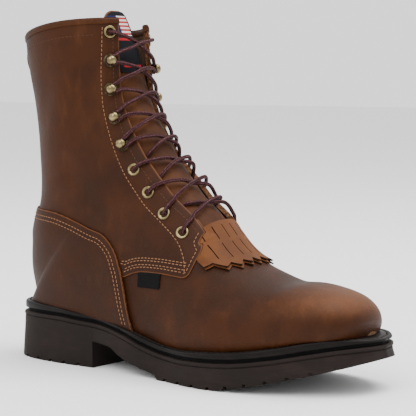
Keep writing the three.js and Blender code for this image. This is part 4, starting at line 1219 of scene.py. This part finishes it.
# Fringe, laid out flat: y across and d up the slope of the instep
FRINGE_SLOPE = math.radians(41)
FRINGE_FOOT_AT = (x_at(0.676), 0.66 * INSTEP_HEIGHT)
FRINGE_LENGTH = 42.0
FRINGE_FOOT_REACH = 38.0
FRINGE_HEAD_REACH = 33.0
FRINGE_STRIPS = 8
FRINGE_ARC = 15.0
FRINGE_TEETH = 5.2
FRINGE_STEPS = (210, 100)
FRINGE_MARGIN = 3
SLIT_HALF = 0.32
LOW_SLIT = (9.5, 24.0)
HIGH_SLIT = (27.0, 38.5)
DROP_FROM = 60
TO_RIGHT = np.array([0, 1, 0])
UP_SLOPE = np.array([-math.cos(FRINGE_SLOPE), 0, math.sin(FRINGE_SLOPE)])
OFF_SLOPE = np.array([math.sin(FRINGE_SLOPE), 0, math.cos(FRINGE_SLOPE)])


def fringe_shape(y, d):
    """Of flat points: the fringe's half width, their strip, and how far the foot's arc is up there."""
    reach = lerp(FRINGE_FOOT_REACH, FRINGE_HEAD_REACH, d / FRINGE_LENGTH)
    arc = FRINGE_ARC * np.clip(np.abs(y / reach), 0, 1) ** 4
    return reach, (y / reach + 1) / 2 * FRINGE_STRIPS, arc


def fringe_keep(y, d, longer):
    """How far inside the fringe a flat point lies: pinked foot and two rows of slits."""
    reach, strip, arc = fringe_shape(y, d)
    share = y / reach
    off_slit = np.abs(strip - np.round(strip)) * 2
    foot = arc + FRINGE_TEETH * off_slit - longer
    field = np.minimum((d - foot) * 0.8, np.minimum(FRINGE_LENGTH - d, (1 - np.abs(share)) * reach))
    edge_near = off_slit * reach / FRINGE_STRIPS
    between = (np.round(strip) > 0.5) & (np.round(strip) < FRINGE_STRIPS - 0.5)
    up = d - arc
    low_slit, high_slit = (np.maximum(low - up, up - high) for low, high in (LOW_SLIT, HIGH_SLIT))
    slit = np.maximum(edge_near - SLIT_HALF, np.minimum(low_slit, high_slit))
    return np.where(between, np.minimum(field, slit), field)


class BOOT_OT_fringe(bpy.types.Operator):
    """Cuts the two layers of the fringe and lays them on the instep"""
    bl_idname = "boot.fringe"
    bl_label = "Fringe"

    def execute(self, context):
        tree = form_tree()
        dress(self.layer("fringe_under", tree, GAP, 0.9, 1.8, 0.3), "fringe_leather", "fringe")
        dress(self.layer("fringe_over", tree, 1.5, 1.1, 0.0, 0.9), "fringe_leather", "fringe")
        return {"FINISHED"}

    def lay_down(self, y, d, tree):
        """Points of the last under flat points, their normals, and which points miss the last."""
        start = np.array([FRINGE_FOOT_AT[0], 0, FRINGE_FOOT_AT[1]])
        points, normals, missed = [], [], []
        for place in start + np.outer(y, TO_RIGHT) + np.outer(d, UP_SLOPE):
            hit, normal, _, _ = tree.ray_cast(Vector(place + OFF_SLOPE * DROP_FROM), Vector(-OFF_SLOPE))
            missed.append(hit is None)
            points.append(place if hit is None else hit[:])
            normals.append(OFF_SLOPE if hit is None else normal[:])
        return np.array(points), np.array(normals), np.array(missed)

    def clear_of_flaps(self, y, d, tree):
        """How far a flat point, once laid down, is from the flaps."""
        points, _, missed = self.lay_down(y, d, tree)
        flap = np.minimum(side_distance(points, QUARTER_CURVE), off_throat(points, np.zeros(len(points))))
        return np.where(missed, -1.0, -GAP - flap)

    def layer(self, name, tree, lift, thickness, longer, curl):
        """One layer: cut out flat, laid on the last, lifted, its foot curled up a little."""
        ys = np.linspace(-FRINGE_FOOT_REACH, FRINGE_FOOT_REACH, FRINGE_STEPS[0])
        ds = np.linspace(-FRINGE_MARGIN, FRINGE_LENGTH, FRINGE_STEPS[1])
        rows, cols = np.meshgrid(ds, ys, indexing="ij")
        d, y = rows.ravel(), cols.ravel()
        clear = self.clear_of_flaps(y, d, tree)
        value = np.minimum(fringe_keep(y, d, longer), clear)
        faces, ends, _ = cut_quads(value, grid_quads(len(ds), len(ys)))
        low, high = ends.T
        share = (value[low] / (value[low] - value[high]))[:, None]
        flat = np.stack([y, d, clear], 1)
        faces, (flat,) = used_only(faces, np.concatenate([flat, lerp(flat[low], flat[high], share)]))
        y, d, clear = flat.T
        strip = fringe_shape(y, d)[1]
        foot = np.maximum(d - FRINGE_ARC * np.clip(np.abs(y) / FRINGE_FOOT_REACH, 0, 1) ** 4, 0)
        raised = lerp(0.15, lift, smooth_between(clear, 0, 6)) + curl * np.exp(-foot / 4.0)
        raised += 0.35 * np.sin(strip * 2.3 + 1.0) * np.exp(-foot / 9.0)
        points, normals, _ = self.lay_down(y, d, tree)
        skin = [MATERIALS["fringe"], MATERIALS["fringe"], MATERIALS["dark_edge"]]
        made = new_object(name, to_frame(points + normals * raised[:, None]), faces, skin)
        write_attribute(made, "edge", np.full(len(points), 8.0))
        write_attribute(made, "tone", 0.2 + 0.25 * np.sin(strip * 1.7))
        modify(made, "SOLIDIFY", thickness=thickness * MM, offset=1.0, use_even_offset=False,
               material_offset=1, material_offset_rim=2)
        return smooth(made, 50)


def form_tree():
    """The last's surface, to lay the fringe on."""
    rows, count = 120, 161
    p, a = np.meshgrid(np.linspace(*FRINGE_ROWS, rows), np.linspace(-1, 1, count), indexing="ij")
    points = surface_at(p.ravel(), a.ravel())
    return BVHTree.FromPolygons(points.tolist(), grid_quads(rows, count).tolist())


# Sole
class Rim:
    """Points round the outsole: the outer side from heel to toe, then the inner side back."""

    def __init__(self, steps):
        points = np.stack(plan_at(FINE_ROWS, -1)[1:], 1)
        lengths = running_length(points)
        rows = np.interp(np.linspace(0, lengths[-1], steps), lengths, FINE_ROWS)
        breast = np.interp(BREAST, FINE_ALONG, FINE_ROWS)
        arch = np.interp(ARCH["along"][-1], FINE_ALONG, FINE_ROWS)
        inner = np.sort(np.concatenate([rows[1:-1], [breast, breast + 0.01, arch]]))
        outer_side = plan_at(np.concatenate([[0], inner, [LAST_ROW]]), -1)
        inner_side = plan_at(inner[::-1], 1)
        self.along = np.concatenate([outer_side[0], inner_side[0]])
        self.x = np.concatenate([outer_side[1], inner_side[1]])
        self.y = np.concatenate([outer_side[2], inner_side[2]])
        across = np.roll(self.y, -1) - np.roll(self.y, 1)
        ahead = np.roll(self.x, 1) - np.roll(self.x, -1)
        size = np.hypot(across, ahead)
        self.nx, self.ny = across / size, ahead / size
        self.count = len(self.x)

    def loop(self, inset, level, over=0.0, on_rim=False):
        """A loop set in from the rim, over a level that is a function of the place along the sole."""
        x = self.x - inset * self.nx
        y = self.y - inset * self.ny
        return np.stack([x, y, level(self.along if on_rim else along_at(x)) + over], 1)


def plate(name, rim, rows, material, closed_strip=False):
    """A body of stacked loops, closed across below and above, or closed on itself."""
    loops = [rim.loop(*row) for row in rows]
    count = rim.count
    faces = []
    for row in range(len(loops) if closed_strip else len(loops) - 1):
        start, above = row * count, ((row + 1) % len(loops)) * count
        for i in range(count):
            k = (i + 1) % count
            faces.append((start + i, start + k, above + k, above + i))
    if not closed_strip:
        for start, up in ((0, False), ((len(loops) - 1) * count, True)):
            for i in range(count // 2):
                quad = (i, i + 1, (count - i - 1) % count, (count - i) % count)
                quad = list(dict.fromkeys(start + corner for corner in quad))
                faces.append(tuple(quad if up else reversed(quad)))
    return new_object(name, to_frame(np.concatenate(loops)), faces, [material])


WELT_EDGE = SOLE_FLARE + 0.4
SIDE_LIP = 4.0


def recess_top(along):
    return top_at(along) + RECESS_HEIGHT


def part_up(share):
    """A level part of the way from the sole's underside to under its lip."""
    return lambda along: lerp(bottom_at(along), top_at(along) - SIDE_LIP, share)


class BOOT_OT_sole(bpy.types.Operator):
    """Builds the outsole with its tread, the recessed layer, the welt and the insole"""
    bl_idname = "boot.sole"
    bl_label = "Sole"

    def execute(self, context):
        rim, look = Rim(190), MATERIALS
        line, edge, lip = SOLE_FLARE, WELT_EDGE, FEATHER + WALL
        outsole = plate("outsole_rubber", rim, (
            (1.1, bottom_at, 0, True), (0.3, bottom_at, 0.25, True), (0, bottom_at, 1, True),
            (0.3 * line, part_up(0.35), 0, True), (0.8 * line, part_up(0.75), 0, True),
            (line, top_at, -3.5), (line + 0.5, top_at, -3.2), (line + 0.5, top_at, -2.8),
            (line - 0.3, top_at, -2.4), (line - 0.5, top_at, -1.9), (line - 0.5, top_at, -0.8),
            (line - 0.1, top_at, -0.2), (line + 0.8, top_at)), look["sole"])
        self.cut_tread(outsole)
        inset, middle = edge + RECESS_DEPTH, edge + WELT_WIDTH - 0.4
        midsole = plate("recess_layer", rim, (
            (inset, top_at, -0.1), (inset, recess_top, 0.1), (middle, recess_top, 0.1),
            (middle, seat_at)), look["recess"])
        welt = plate("welt_strip", rim, (
            (edge + WELT_WIDTH, recess_top), (edge + 1.2, recess_top), (edge + 0.4, recess_top, 0.35),
            (edge, recess_top, 1.1), (edge, seat_at, -1.5), (edge + 0.25, seat_at, -0.7),
            (edge + 0.8, seat_at, -0.15), (edge + 1.6, seat_at), (edge + 2.6, seat_at, -0.1),
            (edge + 3.1, seat_at, -0.6), (edge + 3.9, seat_at, -0.6), (edge + 4.4, seat_at, -0.1),
            (edge + 5.2, seat_at, 0.1), (edge + WELT_WIDTH, seat_at, 0.1)), look["welt"], True)
        insole = plate("insole_board", rim, (
            (lip + 1.2, seat_at, 0.3), (lip + 1.2, seat_at, 2.6), (lip + 2.2, seat_at, 3.3)), look["insole"])
        dress(smooth(outsole, 32), "sole_rubber", "outsole")
        dress(smooth(midsole, 32), "recess_rubber", "midsole")
        dress(smooth(welt, 40), "welt_rubber", "welt")
        dress(smooth(insole, 40), "insole_board", "insole")
        dress(self.welt_stitches(rim), "welt_rubber", "welt")
        return {"FINISHED"}

    def cut_tread(self, outsole):
        """Grooves across the tread, cut by one joined set of bars."""
        fore = np.arange(x_at(0.53), x_at(0.95), GROOVE_PITCH)
        heel = np.arange(x_at(BREAST) - GROOVE_PITCH, x_at(0.05), -GROOVE_PITCH)
        bars = []
        for x in np.concatenate([fore, heel]):
            bottom = float(bottom_at(np.array([along_at(x)]))[0])
            only()
            bpy.ops.mesh.primitive_cube_add(size=1, location=to_frame((x, 0, bottom)))
            bar = bpy.context.object
            bar.scale = (GROOVE_WIDTH * MM, 2 * BALL_WIDTH * MM, 2 * GROOVE_DEPTH * MM)
            bars.append(place_here(bar))
        only(bars[0])
        for bar in bars:
            bar.select_set(True)
        bpy.ops.object.join()
        cutter = bpy.context.object
        modify(outsole, "BOOLEAN", object=cutter, operation="DIFFERENCE", solver="EXACT")
        bpy.data.objects.remove(cutter, do_unlink=True)

    def welt_stitches(self, rim):
        """Thread in the welt's groove, all round."""
        line = rim.loop(WELT_EDGE + 3.5, seat_at, -0.35)
        line = np.concatenate([line, line[:1]])
        normal = np.tile((0.0, 0.0, 1.0), (len(line), 1))
        pitch = bpy.context.scene.boot_sizes.welt_pitch / MM
        return stitch_row("welt_stitches", [(line, normal)], pitch, 3.2, 0.62, MATERIALS["welt_thread"])


def stitch_shape(length, radius):
    """One stitch along X: a short bar with drawn-in ends that dip into the leather."""
    only()
    bpy.ops.mesh.primitive_cylinder_add(vertices=6, radius=radius, depth=length, rotation=(0, math.pi / 2, 0),
                                        end_fill_type="NGON")
    bar = place_here(bpy.context.object)
    bpy.ops.object.mode_set(mode="EDIT")
    bpy.ops.mesh.select_all(action="SELECT")
    bm = bmesh.from_edit_mesh(bar.data)
    ends = [face for face in bm.faces if len(face.verts) == 6]
    for face in bm.faces:
        face.select = face in ends
    bmesh.update_edit_mesh(bar.data)
    bpy.ops.mesh.inset(thickness=radius * 0.001, depth=length * 0.16)
    bpy.ops.object.mode_set(mode="OBJECT")
    points = np.array([v.co[:] for v in bar.data.vertices])
    far = np.abs(points[:, 0]) > length * 0.55
    points[far, 1:] *= 0.55
    points[:, 2] -= 0.45 * radius * (np.abs(points[:, 0]) / (length * 0.66)) ** 2
    faces = [tuple(face.vertices) for face in bar.data.polygons]
    bpy.data.objects.remove(bar, do_unlink=True)
    return points, faces


def stitch_row(name, lines, pitch, length, radius, material):
    """Copies of one stitch along lines of points with their normals, as one mesh."""
    shape, shape_faces = stitch_shape(length, radius)
    vertices, faces = [], []
    for points, normals in lines:
        lengths = running_length(points)
        number = int(lengths[-1] // pitch)
        if number < 1:
            continue
        places = (np.arange(number) + 0.5) * lengths[-1] / number
        centre, up = points_at(places, lengths, points), points_at(places, lengths, normals)
        way = unit(points_at(places + 0.3, lengths, points) - points_at(places - 0.3, lengths, points))
        side = unit(np.cross(up, way))
        for c, w, s, u in zip(centre, way, side, np.cross(way, side)):
            start = len(vertices)
            vertices.extend(c + shape[:, :1] * w + shape[:, 1:2] * s + shape[:, 2:] * u)
            faces.extend(tuple(i + start for i in face) for face in shape_faces)
    made = new_object(name, to_frame(np.array(vertices)), faces, [material])
    return smooth(made, 60)


def seam_lines(field, level, positions, arounds, inside, lift):
    """Lines on the leather at a level of a field, kept where inside says so."""
    def keep(points, position, around):
        return field(points, position, around) - level

    p, a, _, segments = trimmed_grid(positions, arounds, keep)
    lines = []
    for chain in chains(segments):
        position, around = p[chain], a[chain]
        base = surface_at(position, around)
        normal = normal_at(position, around)
        points = base + normal * (lift + folds_at(base) + flare(base, around))[:, None]
        good = np.flatnonzero(inside(base, position, around))
        for run in np.split(good, np.flatnonzero(np.diff(good) > 1) + 1):
            if len(run) > 2:
                lines.append((points[run], normal[run]))
    return lines


# Stitched rows: their levels in millimetres from an edge, and where each one stops
ROW_CLEAR = 3.4
COLLAR_CLEAR = 5
FRONT_ROW = 3.0
FACING_ROW = 4.2
COLLAR_ROW = 12.5
LOWER_ROWS_TOP = 100
FRONT_ROW_TOP = THROAT_BOTTOM + 18
FACING_ROW_FOOT = THROAT_BOTTOM + 4
SUNK = 0.02


class BOOT_OT_stitching(bpy.types.Operator):
    """Sews the seams of the leather"""
    bl_idname = "boot.stitching"
    bl_label = "Stitching"

    def execute(self, context):
        rows, arounds = grid_rows(*QUARTER_ROWS, 0.25), both_sides(0.0125, 0.025)
        on_quarter, on_counter = OVERLAY + SUNK, 2 * OVERLAY + GAP + SUNK

        def free(margin):
            return lambda points, p, a: (off_throat(points, a) > margin) & (off_seat(points) > 2)

        def lower_edge(points, p, a):
            """Clear of the front edge's row and of the counter."""
            return free(8)(points, p, a) & (behind_front_edge(points, p, a) > ROW_CLEAR) & (
                in_counter(points, p, a) < -0.5) & (points[:, 2] < LOWER_ROWS_TOP)

        def front_edge(points, p, a):
            return (above_lower_edge(points, p, a) > 2.6) & (off_throat(points, a) > 2.4) & (
                points[:, 2] < FRONT_ROW_TOP)

        def row_part(points, p, a):
            return (below_collar(points) > COLLAR_CLEAR) & (above_lower_edge(points, p, a) > ROW_CLEAR) & (
                off_throat(points, a) > 2) & (points[:, 0] < x_at(0.6)) & (np.abs(a) < 0.8)

        def facing(points, p, a):
            return off_throat(points, a)

        def facing_part(points, p, a):
            return (behind_front_edge(points, p, a) > ROW_CLEAR) & (below_collar(points) > COLLAR_CLEAR) & (
                points[:, 2] > FACING_ROW_FOOT) & (np.abs(a) < CROWN_SHARE)

        def collar(points, p, a):
            return below_collar(points) - below_collar(surface_at(COLLAR, a))

        def seams(field, levels, part, lift=on_quarter, rows=rows):
            return [line for level in levels for line in seam_lines(field, level, rows, arounds, part, lift)]

        self.sew("upper_stitches", seams(behind_front_edge, (FRONT_ROW,), front_edge)
                 + seams(above_lower_edge, LOWER_ROWS, lower_edge)
                 + seams(behind_row_line, (0.0,), row_part), "tan_thread", "upper")
        self.sew("facing_stitches", seams(facing, (FACING_ROW,), facing_part)
                 + seams(collar, (COLLAR_ROW,), free(14)), "dark_thread", "upper")
        self.sew("counter_stitches", seams(in_counter, COUNTER_ROWS, free(3), on_counter,
                                           grid_rows(*HEEL_ROWS, 0.25)), "tan_thread", "counter")
        return {"FINISHED"}

    def sew(self, name, lines, finish, node):
        """One piece of stitches along lines."""
        sizes = bpy.context.scene.boot_sizes
        pitch, length, radius = sizes.stitch_pitch / MM, sizes.stitch / MM, sizes.thread / MM / 2
        made = stitch_row(name, lines, pitch, length, radius, MATERIALS[finish])
        dress(made, "upper_leather", node)


def spun(name, profile, materials, segments=32):
    """A body turned round Z from a profile of radius and height, in millimetres."""
    only()
    bpy.ops.mesh.primitive_plane_add(size=0.001)
    made = bpy.context.object
    made.name = name
    bpy.ops.object.mode_set(mode="EDIT")
    bpy.ops.mesh.select_all(action="SELECT")
    bpy.ops.mesh.delete(type="VERT")
    bm = bmesh.from_edit_mesh(made.data)
    line = [bm.verts.new((r * MM, 0, h * MM)) for r, h in profile]
    for u, v in zip(line[:-1], line[1:]):
        bm.edges.new((u, v))
    bmesh.update_edit_mesh(made.data)
    bpy.ops.mesh.select_all(action="SELECT")
    bpy.ops.mesh.spin(steps=segments, angle=2 * math.pi, center=(0, 0, 0), axis=(0, 0, 1))
    bpy.ops.mesh.select_all(action="SELECT")
    bpy.ops.mesh.remove_doubles(threshold=1e-6)
    bpy.ops.mesh.normals_make_consistent(inside=False)
    bpy.ops.object.mode_set(mode="OBJECT")
    for material in materials:
        made.data.materials.append(material)
    return made


def seat_of(row, side):
    """Where a row of one facing stands: section number, place around it, point and normal."""
    position = ROW_AT[row:row + 1]
    around = around_at_reach(position, eyelet_reach(position, side), side)
    return position, around, surface_at(position, around), normal_at(position, around)[0]


def seat_matrix(row, side, offset):
    """Stands an axis on the leather at a row of one facing."""
    _, around, point, normal = seat_of(row, side)
    point = point[0] + normal * (offset + flare(point, around)[0])
    turn = Vector((0, 0, 1)).rotation_difference(Vector(normal)).to_matrix().to_4x4()
    return Matrix.Translation(Vector(to_frame(point))) @ turn


class BOOT_OT_fittings(bpy.types.Operator):
    """Sets the brass eyelets and the domed hooks"""
    bl_idname = "boot.fittings"
    bl_label = "Eyelets and hooks"

    def execute(self, context):
        look = MATERIALS
        eyelet = spun("eyelet_brass", (
            (2.3, -3.2), (2.8, -3.2), (2.9, 0.1), (4.4, 0.1), (4.65, 0.3), (4.6, 0.7), (4.3, 1.0),
            (3.8, 1.1), (3.2, 0.95), (2.6, 0.45), (2.35, -0.1), (2.3, -1.0), (2.3, -3.2)), [look["brass"]])
        hook = spun("hook_brass", (
            (0, 0.1), (4.8, 0.1), (5.0, 0.3), (4.9, 0.6), (4.4, 0.8), (2.8, 0.85), (1.8, 1.1), (1.5, 1.6),
            (1.5, 3.0), (2.3, 3.3), (3.2, 3.5), (3.6, 3.9), (3.7, 4.5), (3.6, 5.3), (3.2, 6.2), (2.5, 7.0),
            (1.5, 7.55), (0.6, 7.75), (0, 7.8)), [look["brass"], look["ring"]])
        # The base and stem under the dome take the darker brass, partly the base's own colour and partly
        # painted shade under the dome.
        for face in hook.data.polygons:
            face.material_index = 1 if face.center.z < 3.1 * MM else 0
        for side, word in ((-1, "outer"), (1, "inner")):
            for row in range(ROWS):
                piece, source = ("hook", hook) if row in HOOK_ROWS else ("eyelet", eyelet)
                made = source.copy()
                made.data = source.data.copy()
                made.name = f"{piece}_brass_{word}_{row + 1}"
                bpy.context.scene.collection.objects.link(made)
                made.data.transform(seat_matrix(row, side, OVERLAY))
                dress(smooth(made, 50), "brass", f"{piece}_{word}_{row + 1}")
        for source in (eyelet, hook):
            bpy.data.objects.remove(source, do_unlink=True)
        return {"FINISHED"}


def smooth_path(points, step=0.7):
    """A smooth line through points, at even steps."""
    points = np.asarray(points, float)
    rows = np.linspace(0, len(points) - 1, len(points) * 24)
    fine = np.stack([spline(points[:, k], rows) for k in range(3)], 1)
    lengths = running_length(fine)
    places = np.linspace(0, lengths[-1], max(int(lengths[-1] / step), 2))
    return points_at(places, lengths, fine), places


def tube(name, points, radius, material, segments=12):
    """A round cord along a path, with a map of its turn and its length in millimetres."""
    path, places = smooth_path(points)
    tangent = unit(np.gradient(path, axis=0))
    side = np.cross(tangent[0], (0, 0, 1.0))
    sides = []
    for t in tangent:
        side = unit(side - t * (side @ t))
        sides.append(side)
    sides = np.array(sides)
    ups = np.cross(tangent, sides)
    angles = np.linspace(0, 2 * math.pi, segments, endpoint=False)[None, :, None]
    rings = path[:, None] + radius * (np.cos(angles) * sides[:, None] + np.sin(angles) * ups[:, None])
    made = sweep(name, rings, [material])
    layer = made.data.uv_layers.new(name="UVMap")
    for face in made.data.polygons:
        for loop_number in face.loop_indices:
            vertex = made.data.loops[loop_number].vertex_index
            ring, spot = divmod(vertex, segments)
            closing = len(face.vertices) == 4 and any(v % segments == segments - 1 for v in face.vertices)
            turn = 1.0 if closing and spot == 0 else spot / segments
            layer.data[loop_number].uv = (turn, places[ring])
    return smooth(made, 60)


class BOOT_OT_laces(bpy.types.Operator):
    """Runs the two halves of the lace from the lowest eyelets up to the top ones"""
    bl_idname = "boot.laces"
    bl_label = "Laces"

    def execute(self, context):
        for start, word in ((-1, "outer"), (1, "inner")):
            made = tube(f"lace_from_{word}", self.half_lace(start), LACE_RADIUS, MATERIALS["lace"])
            dress(made, "lace_yarn", *[f"lace_crossing_{k}" for k in range(1, ROWS)])
        return {"FINISHED"}

    def half_lace(self, side):
        """Points of one half, which changes sides at each row."""
        position = ROW_AT[ROWS - 1]
        reach = float(eyelet_reach(position, side))
        start = ((reach + 2, -WALL - 1.2), (reach, -1.5), (reach - 0.3, OVERLAY + 0.6))
        points = [point_over(position, side * y, offset) for y, offset in start]
        for row in range(ROWS - 1, 0, -1):
            points += self.crossing(row, side)
            side = -side
        return points

    def round_stem(self, row, side, height):
        """Points round a hook's stem under its dome, from below it to above it."""
        position, around, point, normal = seat_of(row, side)
        up = surface_at(position + 0.1, around)[0] - surface_at(position - 0.1, around)[0]
        up = unit(up - normal * (up @ normal))
        away = np.cross(normal, up)
        away *= side * (1 if away[1] > 0 else -1)
        reach = STEM_RADIUS + LACE_RADIUS - 0.2
        turns = ((-4.2 / reach, -0.8), (-0.4, -1), (0.65, -0.75), (1, 0), (0.65, 0.75), (-0.4, 1),
                 (-4.2 / reach, 1.3))
        return [point[0] + normal * height + (away * a + up * b) * reach for a, b in turns]

    def crossing(self, lower, side):
        """From over the lower row on one side to the upper row on the other."""
        upper = lower - 1
        low, high = ROW_AT[lower], ROW_AT[upper]
        low_reach = float(eyelet_reach(low, side))
        high_reach = float(eyelet_reach(high, -side))
        edge = float(throat_reach(surface_at(high, 0.0)[2]))
        over = OVERLAY + LACE_RADIUS
        middle = LACE_RADIUS - WALL + 1.2 + (2 * LACE_RADIUS - 0.3 if side < 0 else 0.1)
        under_dome = OVERLAY + 0.7 + LACE_RADIUS

        def at(share, y, offset):
            return point_over(lerp(low, high, share), side * y, offset)

        points = []
        if lower in HOOK_ROWS:
            points += self.round_stem(lower, side, under_dome)[5:] + [at(0.24, edge + 0.3, over + 0.1)]
        elif lower in FROM_ABOVE:
            points += [at(0.02, low_reach - 1.2, -WALL - 1.0), at(0.1, edge + 1.5, -WALL - 1.2),
                       at(0.2, edge - 2.5, -WALL + LACE_RADIUS)]
        else:
            points += [at(0.05, low_reach - 2.4, OVERLAY + 0.8 + LACE_RADIUS),
                       at(0.12, lerp(low_reach, edge, 0.8), over + 0.1), at(0.2, edge - 0.6, over - 0.2)]
        points += [at(0.34, edge * 0.5, (over + middle) / 2), at(0.5, 0.0, middle)]
        if upper in HOOK_ROWS:
            points += [at(0.66, -edge * 0.5, (over + middle) / 2), at(0.84, -edge, over + 0.1)]
            points += self.round_stem(upper, -side, under_dome)[:5]
        elif upper == 0 or upper in FROM_ABOVE:
            points += [at(0.68, -edge * 0.5, (over + middle) / 2), at(0.88, -(edge + 0.4), over + 0.1),
                       at(0.97, -(high_reach - 2.4), OVERLAY + 1.3 + LACE_RADIUS),
                       at(1.0, -(high_reach - 0.3), OVERLAY + 0.6), at(1.0, -high_reach, -1.4)]
        else:
            points += [at(0.68, -edge * 0.6, middle - 1.0), at(0.84, -(edge - 1.5), -WALL + 0.4),
                       at(0.94, -(edge + 2.5), -WALL - 1.6), at(1.0, -high_reach, -WALL - 1.4),
                       at(1.0, -high_reach, -0.8), at(1.0, -(high_reach - 0.3), OVERLAY + 0.6)]
        return points


class BOOT_OT_trim(bpy.types.Operator):
    """Makes the pull strap at the back and the small tab at the side"""
    bl_idname = "boot.trim"
    bl_label = "Strap and tab"

    def execute(self, context):
        dress(self.strap(), "pull_webbing", "pull_loop")
        dress(self.tab(), "woven_tab", "side_tab")
        return {"FINISHED"}

    def strap(self):
        """A folded strap sewn to the back of the collar, bowed out."""
        low, high, width, bow, thickness, hollow = 212.0, 238.0, 20.0, 4.0, 2.0, 0.012
        steps = np.linspace(0, 1, 25)
        levels = lerp(low, high, steps)
        rows = np.linspace(FIRST_CLOSED, ABOVE, 400)
        back = surface_at(rows, np.ones_like(rows))
        back_x = np.interp(levels, back[:, 2], back[:, 0]) - OVERLAY - BAND_STEP - GAP
        across = np.linspace(-width / 2, width / 2, 9)
        rings = []
        for x, z, t in zip(back_x, levels, steps):
            bulge = bow * math.sin(math.pi * t)
            curve = hollow * across ** 2
            outside = [(x - thickness - bulge + c, y, z) for c, y in zip(curve, across)]
            inside = [(x - bulge + c, y, z) for c, y in zip(curve[::-1], across[::-1])]
            rings.append(outside + inside)
        made = sweep("pull_strap", np.array(rings), [MATERIALS["webbing"]])
        modify(made, "BEVEL", width=0.0004, segments=2, limit_method="ANGLE", angle_limit=math.radians(50))
        return smooth(made, 50)

    def tab(self):
        """A small plain woven tab under the quarter's edge."""
        low_x, length, low_z = x_at(0.431), 0.068 * SOLE_LENGTH, 0.518 * INSTEP_HEIGHT

        def keep(points, position, around):
            x, z = points[:, 0], points[:, 2]
            inside = np.minimum(np.minimum(x - low_x, low_x + length - x), z - low_z)
            inside = np.minimum(inside, 1.5 - side_distance(points, QUARTER_CURVE))
            return np.where(points[:, 1] > 0, -5.0, inside)

        return lay_panel("side_tab_cloth", grid_rows(*TAB_ROWS, 0.03), -grid_rows(0.3, 1, 0.008)[::-1], keep,
                         1.0, 0.9, [MATERIALS["tab"]] * 3, PLAIN, 0.2)


CAMERA_AZIMUTH = math.radians(36.0)
CAMERA_ELEVATION = math.radians(4.8135)
CAMERA_DISTANCE = 1150.65
CAMERA_AIM = (10.26, 0.0, 118.85)
CAMERA_FOCUS = 1600.0
PICTURE_WIDTH = 416.0
SENSOR = 36.0
FLOOR_SIZE = 16
ROOM_LIGHT = 1.5
# Name, place, aim, power and size of each soft light
LIGHTS = (("key", (0.2, -1.5, 1.7), (0, 0, 0.1), 30, 1.4), ("top", (0.6, 0.5, 1.9), (0.05, 0, 0.1), 46, 1.2),
          ("rim", (-1.6, -0.5, 1.0), (0, 0, 0.12), 6, 1.0))


class BOOT_OT_stage(bpy.types.Operator):
    """Sets the pale floor, the soft lights and the camera"""
    bl_idname = "boot.stage"
    bl_label = "Floor, lights and camera"

    def execute(self, context):
        only()
        bpy.ops.mesh.primitive_plane_add(size=FLOOR_SIZE, location=(0, 0, 0))
        floor = bpy.context.object
        floor.name = "floor"
        paint = Paint("pale_floor")
        paint.set("Base Color", (0.86, 0.86, 0.86)).set("Roughness", 0.8)
        floor.data.materials.append(paint.material)
        world = bpy.data.worlds.new("soft_room")
        context.scene.world = world
        world.use_nodes = True
        background = world.node_tree.nodes["Background"]
        background.inputs["Color"].default_value = (1, 1, 1, 1)
        background.inputs["Strength"].default_value = ROOM_LIGHT
        for light in LIGHTS:
            self.light(*light)
        data = bpy.data.cameras.new("photo_view")
        camera = bpy.data.objects.new("photo_view", data)
        context.scene.collection.objects.link(camera)
        a, e = CAMERA_AZIMUTH, CAMERA_ELEVATION
        back = Vector((math.sin(a) * math.cos(e), -math.cos(a) * math.cos(e), math.sin(e)))
        camera.location = Vector(to_frame(CAMERA_AIM)) + back * CAMERA_DISTANCE * MM
        camera.rotation_euler = back.to_track_quat("Z", "Y").to_euler()
        data.sensor_width = SENSOR
        data.lens = SENSOR * CAMERA_FOCUS / PICTURE_WIDTH
        data.clip_start = 0.05
        context.scene.camera = camera
        return {"FINISHED"}

    def light(self, name, place, aim, power, size):
        data = bpy.data.lights.new(name, "AREA")
        data.energy = power
        data.size = size
        lamp = bpy.data.objects.new(name, data)
        lamp.location = place
        lamp.rotation_euler = (Vector(place) - Vector(aim)).to_track_quat("Z", "Y").to_euler()
        bpy.context.scene.collection.objects.link(lamp)


class BOOT_PT_panel(bpy.types.Panel):
    """Lists the boot's steps"""
    bl_label = "Work boot"
    bl_space_type = "VIEW_3D"
    bl_region_type = "UI"
    bl_category = "Boot"

    def draw(self, context):
        column = self.layout.column()
        for group in (context.scene.boot_colours, context.scene.boot_sizes):
            for name in group.__annotations__:
                column.prop(group, name)
        for step in STEPS:
            column.operator(step.bl_idname)


STEPS = (BOOT_OT_sole, BOOT_OT_leather, BOOT_OT_tongue, BOOT_OT_fringe, BOOT_OT_stitching,
         BOOT_OT_fittings, BOOT_OT_laces, BOOT_OT_trim, BOOT_OT_stage)
CLASSES = (BootColours, BootSizes, *STEPS, BOOT_PT_panel)


def register():
    for item in CLASSES:
        bpy.utils.register_class(item)
    bpy.types.Scene.boot_colours = bpy.props.PointerProperty(type=BootColours)
    bpy.types.Scene.boot_sizes = bpy.props.PointerProperty(type=BootSizes)


def unregister():
    del bpy.types.Scene.boot_sizes
    del bpy.types.Scene.boot_colours
    for item in reversed(CLASSES):
        bpy.utils.unregister_class(item)


def main():
    register()
    make_materials(bpy.context.scene.boot_colours)
    bpy.ops.boot.sole()
    bpy.ops.boot.leather()
    bpy.ops.boot.tongue()
    bpy.ops.boot.fringe()
    bpy.ops.boot.stitching()
    bpy.ops.boot.fittings()
    bpy.ops.boot.laces()
    bpy.ops.boot.trim()
    bpy.ops.boot.stage()
    bpy.context.view_layer.update()


if __name__ == "__main__":
    main()
